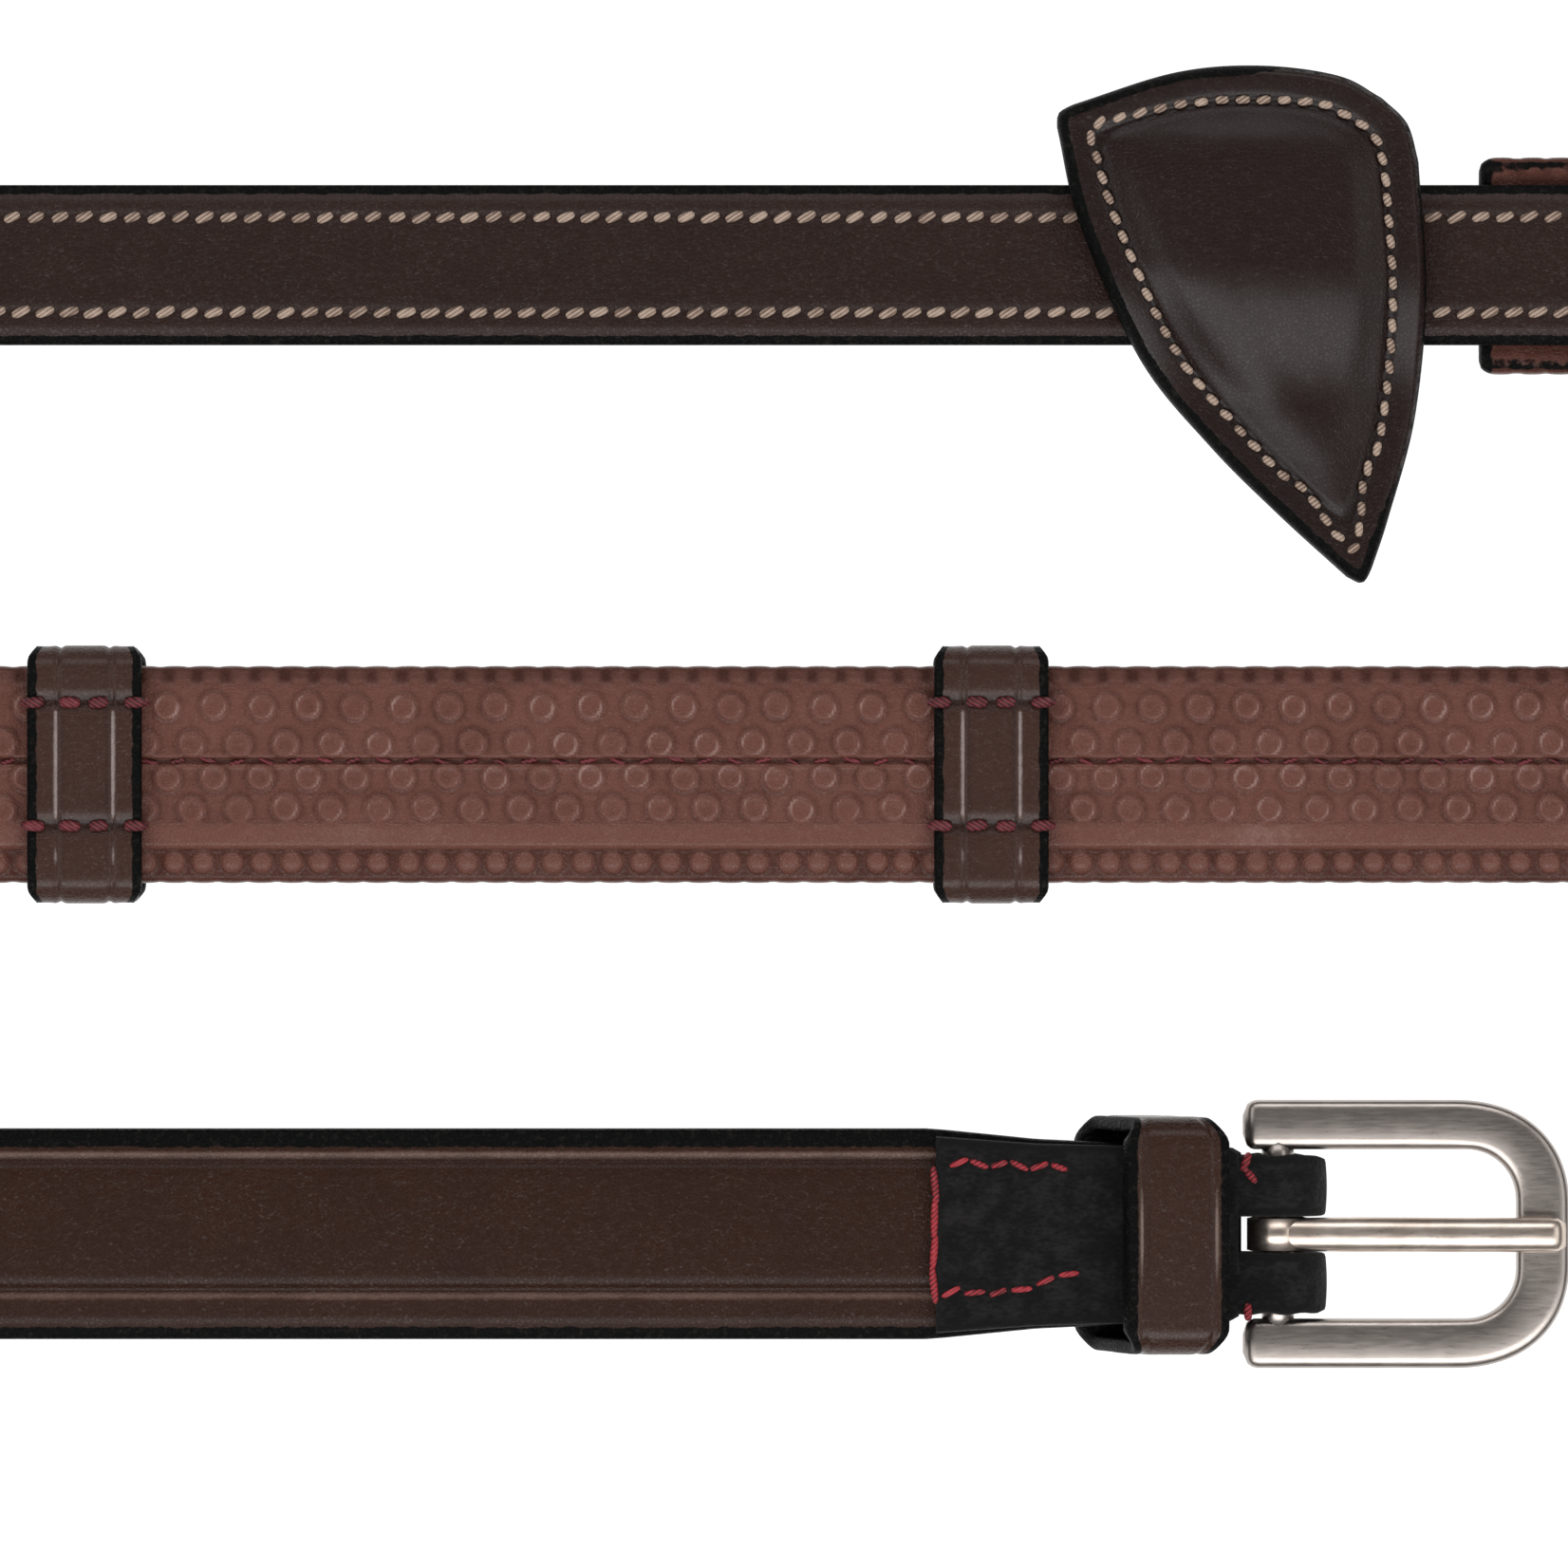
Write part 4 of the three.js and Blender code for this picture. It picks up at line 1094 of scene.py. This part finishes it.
def leather_band(name, line, thickness, edges_at, material, puff=0.0):
    """A band of leather along a side-view line of (s, n) points.

    edges_at(s) gives the v of its two edges, and its front swells by puff along the middle.
    """
    line = line[np.concatenate([[True], np.hypot(*np.diff(line, axis=0).T) > 1e-3])]
    out = left_of(line)
    outer, inner = edges_at(line[:, 0])
    centre, reach = (outer + inner) / 2, (outer - inner) / 2
    corner = 0.5
    turn = np.linspace(0, math.pi, 7)[1:-1]
    across_top = np.linspace(-1, 1, 22)
    swell = thickness / 2 + puff * (1 - across_top**2)
    rows = []
    for i, (s, n) in enumerate(line):
        flat = reach[i] - corner
        front = np.stack([across_top * flat, swell], axis=-1)
        right = np.stack([flat + corner * np.sin(turn) ** 0.6, thickness / 2 * np.cos(turn)], axis=-1)
        back = np.stack([np.linspace(flat, -flat, 8), np.full(8, -thickness / 2)], axis=-1)
        across, through = np.concatenate([front, right, back, right[::-1] * (-1, 1)]).T
        rows.append(row(s + out[i, 0] * through, centre[i] + across, n + out[i, 1] * through))
    grid = np.array(rows)
    paint = (np.abs(grid[..., 1] - centre[:, None]) > reach[:, None] - 0.75).astype(float)
    paint[[0, -1]] = 1
    return closed_grid(name, grid, material, paint, 0.35)


def bit_billet():
    """The billet: two legs folded round the bit ring, the lower one with a narrowing end."""
    bend, bend_at, flare_at, middle, flat = 4.2, -16.0, -11.0, 1.2, 1.0
    top, bottom = middle + flat + bend, middle - flat - bend
    line = np.concatenate(
        [
            straight((60, UPPER_LEG), (0, UPPER_LEG)),
            bezier((0, UPPER_LEG), (-4, UPPER_LEG), (-6, top), (flare_at, top)),
            arc((bend_at, middle + flat), bend, 90, 180),
            arc((bend_at, middle - flat), bend, 180, 270),
            bezier((flare_at, bottom), (-6, bottom), (-4, LOWER_LEG), (0, LOWER_LEG)),
            straight((0, LOWER_LEG), (110, LOWER_LEG)),
        ]
    )

    def edges_at(s):
        half = BILLET_HALF - 3.2 * smooth((s - 103) / 7) ** 2
        return half, -half

    piece = leather_band("billet", line, BILLET_THICKNESS, edges_at, STRAP_LEATHER)
    attach(piece, "cheek", "strap_leather", "bit_billet")


def plain_style(v, n):
    """A keeper: even width, sides sitting tight."""
    return 0.08 * smooth((np.abs(v) - 8.6) / 1.0), 0.05 * np.cos(v / 3), 0.42 + 0 * v, 0 * v


def loop_box(low, high):
    """Half width, lowest level and highest level of a loop, from its CAD box."""
    return (high[1] - low[1]) / 2, low[2] - ROW_Z, high[2] - ROW_Z


def bit_keepers():
    for kind, carrier in (("fixed", "cheek"), ("runner", "runner")):
        low, high = box_mm(f"bit_keeper_{kind}")
        leather_loop(
            f"keeper_{kind}", top_s((low[0] + high[0]) / 2), loop_box(low, high), high[0] - low[0], 1.2,
            BAND_LEATHER, carrier, f"bit_keeper_{kind}", plain_style,
        )


def hook_stud():
    """Plate, neck and button, turned on one axis, with soft edges."""
    low, high = box_mm("hook_stud")
    back, front = low[2] - ROW_Z, high[2] - ROW_Z
    plate, neck, button = 3.6, 1.4, 3.0
    shoulder = LOWER_LEG - BILLET_THICKNESS / 2 - LAYER_GAP
    plate_back = UPPER_LEG - BILLET_THICKNESS / 2
    outline = [
        (0.05, back), (button - 0.8, back + 0.06), (button - 0.15, back + 0.35), (button, back + 0.65),
        (button - 0.2, shoulder), (neck, shoulder + 0.1), (neck, plate_back - 0.1), (plate - 0.2, plate_back),
        (plate, plate_back + 0.3), (plate, front - 0.3), (plate - 0.25, front), (0.05, front),
    ]
    radius, level = np.array(outline).T[..., None]
    angle = circle(32)
    grid = row(top_s((low[0] + high[0]) / 2) + radius * np.cos(angle), radius * np.sin(angle), level)
    attach(closed_grid("stud", grid, STEEL), "cheek", "buckle_steel", "hook_stud")


bit_billet()
bit_keepers()
hook_stud()


# ---------- the hand part ----------

TAPER_X = box_mm("buckle_chape")[0][0]
HAND_END_X = hand_high[0]
HAND_PAINT = 1.55
HAND_CREASE = 6.5
HAND_CREASE_MIDDLE = 0.9
TO_S = bottom_s(0)


def hand_half(x):
    """Half the width of the hand part: even, then tapering to the buckle."""
    return np.interp(x, [TAPER_X - 1, TAPER_X + 1, 4.5, HAND_END_X], [HAND_HALF, HAND_HALF - 0.15, 9.5, 8.65])


def hand_section(half):
    """The hand part at a half width: a raised field between two creases, falling to painted edges."""
    share = half / HAND_HALF

    def front(v):
        from_crease = (np.abs(v / share - HAND_CREASE_MIDDLE) - HAND_CREASE) * share
        field = 0.2 * smooth(-from_crease / 1.5) - 0.25 * (v / HAND_HALF) ** 2
        shoulder = 0.45 * smooth((np.abs(v) / share - 8.3) / 1.9)
        return LINING_TOP - 0.25 + field - dent(from_crease, 0.32, 0.34) - shoulder

    return flat_section(half, HAND_BACK, front, 64, 0.6)


def hand_strap():
    places = stations(bottom_s(hand_low[0]), bottom_s(HAND_END_X), 0.9)
    v = hand_section(HAND_HALF)[:, 0]
    paint = smooth((np.abs(v + 0.3) - HAND_HALF + HAND_PAINT + 0.2) / 0.4)
    from_crease = np.abs(v - HAND_CREASE_MIDDLE) - HAND_CREASE
    # A painted highlight just outside each crease and painted shade in the crease.
    wear_and_painted_light = np.clip(0.36 + dent(from_crease - 0.5, 0.72, 0.5) - dent(from_crease, 0.3, 0.3), 0, 1)

    def section_at(s):
        return hand_section(hand_half(s - TO_S))

    piece = swept_solid("hand", section_at, places, HAND_LEATHER, paint, wear_and_painted_light)
    attach(piece, "hand", "hand_leather", "hand_strap")


# ---------- the leather turned round the buckle bar ----------

pivot = next(joint for joint in frame["record"]["behaviour"]["joints"] if joint["name"] == "buckle_swing")
BAR_X = pivot["pos_m"][0] / MM
BAR_N = pivot["pos_m"][2] / MM - ROW_Z
CHAPE_THICKNESS = 1.5
FRONT_SHEET_END = 24.7
BACK_SHEET_END = 25.1
TABS_FROM = 17.0
SLOT_HALF = 1.8
CHAPE_TOP = LINING_TOP + LAYER_GAP + CHAPE_THICKNESS


def chape_half(x):
    """Half the width of the turned-back leather at x."""
    return np.interp(x, [TAPER_X - 1, 4.5, 24.2, 24.8, 32.2, 33.6], [9.9, 9.1, 8.6, 8.05, 8.05, 7.2])


def chape():
    """Two sheets over and under the strap, and two tabs that fold round the bar, one each side."""
    back_n = HAND_BACK - LAYER_GAP - CHAPE_THICKNESS / 2
    front_n = CHAPE_TOP - CHAPE_THICKNESS / 2 - 0.25
    sheets = (
        ("chape_front", front_n, FRONT_SHEET_END, ["buckle_chape"]),
        ("chape_back", back_n, BACK_SHEET_END, []),
    )

    def sheet_edges(s):
        half = chape_half(s - TO_S)
        return half, -half

    for name, level, end, nodes in sheets:
        line = straight((TO_S + TAPER_X, level), (TO_S + end, level), 0.8)
        piece = leather_band(name, line, CHAPE_THICKNESS, sheet_edges, SUEDE, 0.1)
        attach(piece, "hand", "suede_leather", *nodes)

    sink = 0.03
    upper_n, lower_n = front_n - sink, back_n + sink
    start, bar = TO_S + TABS_FROM, TO_S + BAR_X
    turn = arc((0, 0), (upper_n - lower_n) / 2, 90, -90, 18) * (1.62, 1) + (bar, (upper_n + lower_n) / 2)
    fold = np.concatenate(
        [
            straight((start, upper_n), (bar, upper_n), 0.6),
            turn,
            straight((bar, lower_n), (start, lower_n), 0.6),
        ]
    )

    def tab_edges(s, pitch, phase):
        x = s - TO_S
        wave = 0.12 * np.sin(x * pitch + phase) * smooth((x - 24) / 2)
        return chape_half(x) - 0.12 + wave, np.full(len(x), SLOT_HALF)

    def lower_edges(s):
        outer, inner = tab_edges(s, 1.7, 2)
        return -inner, -outer

    for name, edges_at in (("tab_upper", lambda s: tab_edges(s, 1.9, 1)), ("tab_lower", lower_edges)):
        piece = leather_band(name, fold, CHAPE_THICKNESS, edges_at, SUEDE, 0.12)
        attach(piece, "hand", "suede_leather")


def red_rows():
    """The red stitching that holds the turned-back leather."""
    level = CHAPE_TOP - 0.2
    upper_x = np.arange(-3.2, 8.0, 2.0)
    lower_x = np.arange(-4.0, 8.6, 2.35)
    across_v = np.linspace(5.0, -5.0, 4)
    end_x, end_v = np.array([(25.4, 7.3), (25.9, 5.9), (25.6, -7.7)]).T
    end_n = level - np.array([0.1, 0.1, 0.0])
    upper = row(upper_x, 7.15 - 0.04 * (upper_x + 3), level)
    lower = row(lower_x, -5.7 + 1.9 * smooth((lower_x - 1) / 8), level)
    across = row(TAPER_X - 0.15 + 0.012 * across_v, across_v, level - 0.1)
    odd = np.arange(6) % 2
    rows = (
        ("upper", upper, (1.9, 0.62, 0.55), 90, np.where(odd, -0.35, 0.3)),
        ("lower", lower, (2.0, 0.62, 0.55), 93, np.where(odd, 0.1, 0.4)),
        ("across", across, (3.9, 0.8, 0.9), 96, math.pi / 2),
        ("ends", row(end_x, end_v, end_n), (1.9, 0.85, 0.7), 99, np.array([1.3, 2.2, 1.5])),
    )
    for name, places, size, seed, slant in rows:
        places = places + (TO_S, 0, 0)
        stitches(f"red_{name}", places, size, RED_THREAD, "hand", "red_thread", seed, slant)


# ---------- the buckle keeper ----------

KEEPER_BAND = 10.2
KEEPER_WALL = 1.5
KEEPER_CREASE = 3.6
TONGUE_ROOM = 0.5


def keeper_style(v, n):
    """The keeper's corners are cut off at both edges of the rein, and its face bows up a little."""
    lift = np.where(n > LINING_TOP, 0.25 * (1 - (v / 12) ** 2), 0.0)
    # Painted highlights on the face's creases, fading out as v rises past 5.
    crease_highlight = smooth((9 - v) / 4) * (0.55 + 0.45 * np.cos(v / 2.6))
    return 0.3 * smooth((np.abs(v) - 9.2) / 2.6), lift, 0.42 + 0 * v, crease_highlight


def buckle_keeper():
    """The keeper, leaning over the rein, and ending short of the tongue at its furthest swing."""
    low, high = box_mm("buckle_keeper")
    high[0] -= TONGUE_ROOM
    lean = (high[0] - low[0] - KEEPER_BAND) / (high[2] - low[2])
    leather_loop(
        "keeper", bottom_s((low[0] + high[0]) / 2), loop_box(low, high), KEEPER_BAND, KEEPER_WALL,
        KEEPER_LEATHER, "hand", "buckle_keeper", keeper_style, lean, KEEPER_CREASE, 0.9,
    )


hand_strap()
chape()
red_rows()
buckle_keeper()


# ---------- the buckle ----------

frame_low, frame_high = box_mm("buckle_frame")
FRAME_HALF = (frame_high[1] - frame_low[1]) / 2
FRAME_THICKNESS = frame_high[2] - frame_low[2]
FRAME_BEND_AT = 46.5
FRAME_ARM = 4.95
FRAME_END = 5.3
BAR_RADIUS = 1.6


def frame_edges():
    """The outer and the inner edge of the upper half of the frame in plan."""
    left, right = frame_low[0], frame_high[0]
    outer = np.concatenate(
        [
            straight((left, FRAME_HALF), (FRAME_BEND_AT, FRAME_HALF), 1.0),
            bezier((FRAME_BEND_AT, FRAME_HALF), (53.5, FRAME_HALF), (right, 9.2), (right, 3.0), 22)[1:],
            straight((right, 3.0), (right, 0.0), 0.7)[1:],
        ]
    )
    inner_v, inner_x, corner = FRAME_HALF - FRAME_ARM, right - FRAME_END, 5.0
    inner = np.concatenate(
        [
            straight((left, inner_v), (inner_x - corner, inner_v), 1.0),
            arc((inner_x - corner, inner_v - corner), corner, 90, 0, 14)[1:],
            straight((inner_x, inner_v - corner), (inner_x, 0.0), 0.7)[1:],
        ]
    )
    return outer, inner


def both_halves(line, count):
    """An upper half outline as evenly spaced points, followed by its mirror image."""
    line = at_lengths(line, np.linspace(0, lengths(line)[-1], count))
    return np.concatenate([line, (line * (1, -1))[::-1][1:]])


def buckle_frame():
    """The D: flat stock with a soft top and rounded edges and ends, and the bar between its arms."""
    outer, inner = (both_halves(line, 90) for line in frame_edges())
    level = (frame_low[2] + frame_high[2]) / 2 - ROW_Z
    angle = circle(28)
    across, through = power(np.cos(angle), 0.4), power(np.sin(angle), 0.4)
    middle, reach = (outer + inner) / 2, (outer - inner) / 2
    index = np.arange(len(outer))
    run = np.minimum(index, index[::-1]) * np.hypot(*(outer[1] - outer[0]))
    radius = 1.5
    round_off = quarter_round(run, radius)
    share = 1 - round_off / np.hypot(*reach.T)
    plan = middle[:, None] + reach[:, None] * (across * share[:, None])[..., None]
    height = FRAME_THICKNESS / 2 * (1 - 0.75 * round_off / radius)
    n = level + height[:, None] * through * (1 - 0.05 * across**2)
    piece = closed_grid("frame", row(plan[..., 0] + TO_S, plan[..., 1], n), STEEL)
    attach(piece, "buckle", "buckle_steel", "buckle_frame")
    bar_half = FRAME_HALF - FRAME_ARM + 1.0
    turn = circle(20)
    v = np.linspace(-bar_half, bar_half, 12)[:, None]
    bar = row(TO_S + BAR_X + BAR_RADIUS * np.cos(turn), v, BAR_N + BAR_RADIUS * np.sin(turn))
    attach(closed_grid("frame_bar", bar, STEEL), "buckle", "buckle_steel")


def buckle_tongue():
    """The tongue: a shank that rests on the end of the frame, and an eye that turns on the bar."""
    low, high = box_mm("buckle_tongue")
    width = (high[1] - low[1]) / 2
    tip_n = high[2] - ROW_Z - 1.3
    flat_from = (high[0] - 12, tip_n - 0.1)
    line = np.concatenate(
        [
            bezier((26.9, BAR_N + 1.6), (28.2, BAR_N + 2.5), (33.0, 0.8), flat_from, 26),
            straight(flat_from, (high[0], tip_n), 0.8)[1:],
        ]
    )
    out = left_of(line)
    run = lengths(line)
    root = np.sqrt(np.clip(1 - (1 - np.clip(run / 2.2, 0, 1)) ** 2, 0.02, 1))
    tip = np.sqrt(np.clip(1 - (1 - np.clip((run[-1] - run) / 1.0, 0, 1)) ** 2, 0.05, 1))
    thick = np.interp(run, [0, 8], [0.95, 1.15]) * root * np.maximum(tip, 0.3)
    half = width * np.interp(run, [0, 3, 10, run[-1]], [0.85, 0.95, 1.0, 0.98]) * root * (0.55 + 0.45 * tip)
    angle = circle(24)
    place = line[:, None] + out[:, None] * (thick[:, None] * np.sin(angle))[..., None]
    grid = row(place[..., 0] + TO_S, half[:, None] * power(np.cos(angle), 0.85), place[..., 1])
    attach(closed_grid("tongue", grid, BRIGHT_STEEL), "tongue", "buckle_steel", "buckle_tongue")
    v = width * np.array([-0.9, -1, -0.9, 0.9, 1, 0.9])
    radius = np.array([1.95, 2.4, 3.1, 3.1, 2.4, 1.95])
    turn = angle[:, None]
    ring = row(TO_S + BAR_X + radius * np.cos(turn), v, BAR_N + radius * np.sin(turn))
    faces = grid_faces(*ring.shape[:2], closed_rows=True)
    attach(new_mesh("tongue_eye", ring, faces, BRIGHT_STEEL), "tongue", "buckle_steel")


buckle_frame()
buckle_tongue()


# ---------- studio: floor, light and camera ----------

VIEW_WIDTH = 157.3
VIEW_RIGHT = frame_high[0] + 0.2
VIEW_Y = -0.95
STUDIO_X = (VIEW_RIGHT - VIEW_WIDTH / 2) * MM
SENSOR_WIDTH = 36
LENS = 300
FLOOR_HALF = 30.0
FLOOR_DROP = 0.0002
FLOOR_GREY = 0.25
FLOOR_GLOW = 0.95
WORLD_SEEN = 1.0
WORLD_LIGHT = 0.30
WORLD_MIRRORED_LESS = 0.15
SOFTBOX_SIZE = (1.2, 0.4)
SOFTBOX_HEIGHT = 0.85
# Each softbox: where it stands round the object in degrees, how far off, and its power in watts.
SOFTBOXES = {
    "softbox_front": (-90, 0.50, 7.0),
    "softbox_back": (90, 0.85, 4.0),
    "softbox_left": (180, 0.80, 2.0),
    "softbox_right": (0, 0.80, 2.0),
}


def floor():
    """A wide pale floor just under the rein, lit a little from within so that it stays even."""
    mesh = bpy.data.meshes.new("floor")
    corners = [(-1, -1), (1, -1), (1, 1), (-1, 1)]
    mesh.from_pydata([(x * FLOOR_HALF, y * FLOOR_HALF, -FLOOR_DROP) for x, y in corners], [], [(0, 1, 2, 3)])
    plane = bpy.data.objects.new("floor", mesh)
    bpy.context.scene.collection.objects.link(plane)
    m = Nodes("floor_white")
    m.set(Roughness=0.9, Specular_IOR_Level=0.1, Emission_Strength=FLOOR_GLOW)
    m.set(Base_Color=(FLOOR_GREY, FLOOR_GREY, FLOOR_GREY, 1), Emission_Color=(1, 1, 1, 1))
    mesh.materials.append(m.material)


def world():
    """A white surround, dimmer as a light than as the camera sees it, and dimmer still in gloss."""
    studio = bpy.data.worlds.new("studio")
    bpy.context.scene.world = studio
    studio.use_nodes = True
    nodes, links = studio.node_tree.nodes, studio.node_tree.links
    path = nodes.new("ShaderNodeLightPath")
    level = nodes.new("ShaderNodeMapRange")
    level.inputs["To Min"].default_value = WORLD_LIGHT
    level.inputs["To Max"].default_value = WORLD_SEEN
    glossy = nodes.new("ShaderNodeMath")
    glossy.operation = "MULTIPLY_ADD"
    glossy.inputs[1].default_value = -WORLD_MIRRORED_LESS
    background = nodes["Background"]
    background.inputs["Color"].default_value = (1, 1, 1, 1)
    links.new(path.outputs["Is Camera Ray"], level.inputs["Value"])
    links.new(path.outputs["Is Glossy Ray"], glossy.inputs[0])
    links.new(level.outputs["Result"], glossy.inputs[2])
    links.new(glossy.outputs["Value"], background.inputs["Strength"])


def softbox(name, compass, reach, power_watts):
    lamp = bpy.data.lights.new(name, "AREA")
    lamp.shape = "RECTANGLE"
    lamp.size, lamp.size_y = SOFTBOX_SIZE
    lamp.energy = power_watts
    box = bpy.data.objects.new(name, lamp)
    bpy.context.scene.collection.objects.link(box)
    turn = math.radians(compass)
    box.location = (STUDIO_X + reach * math.cos(turn), reach * math.sin(turn), SOFTBOX_HEIGHT)
    box.rotation_euler = (math.atan2(reach, SOFTBOX_HEIGHT), 0, turn + math.pi / 2)


def camera():
    """Straight down on the middle of the three rows, from far off."""
    data = bpy.data.cameras.new("camera")
    data.sensor_width = SENSOR_WIDTH
    data.lens = LENS
    data.clip_end = 100
    view = bpy.data.objects.new("camera", data)
    bpy.context.scene.collection.objects.link(view)
    view.location = (STUDIO_X, VIEW_Y * MM, VIEW_WIDTH * MM * LENS / SENSOR_WIDTH)
    bpy.context.scene.camera = view


bpy.context.scene.view_settings.view_transform = "Standard"
floor()
world()
for softbox_name, (box_compass, box_reach, box_power) in SOFTBOXES.items():
    softbox(softbox_name, box_compass, box_reach, box_power)
camera()
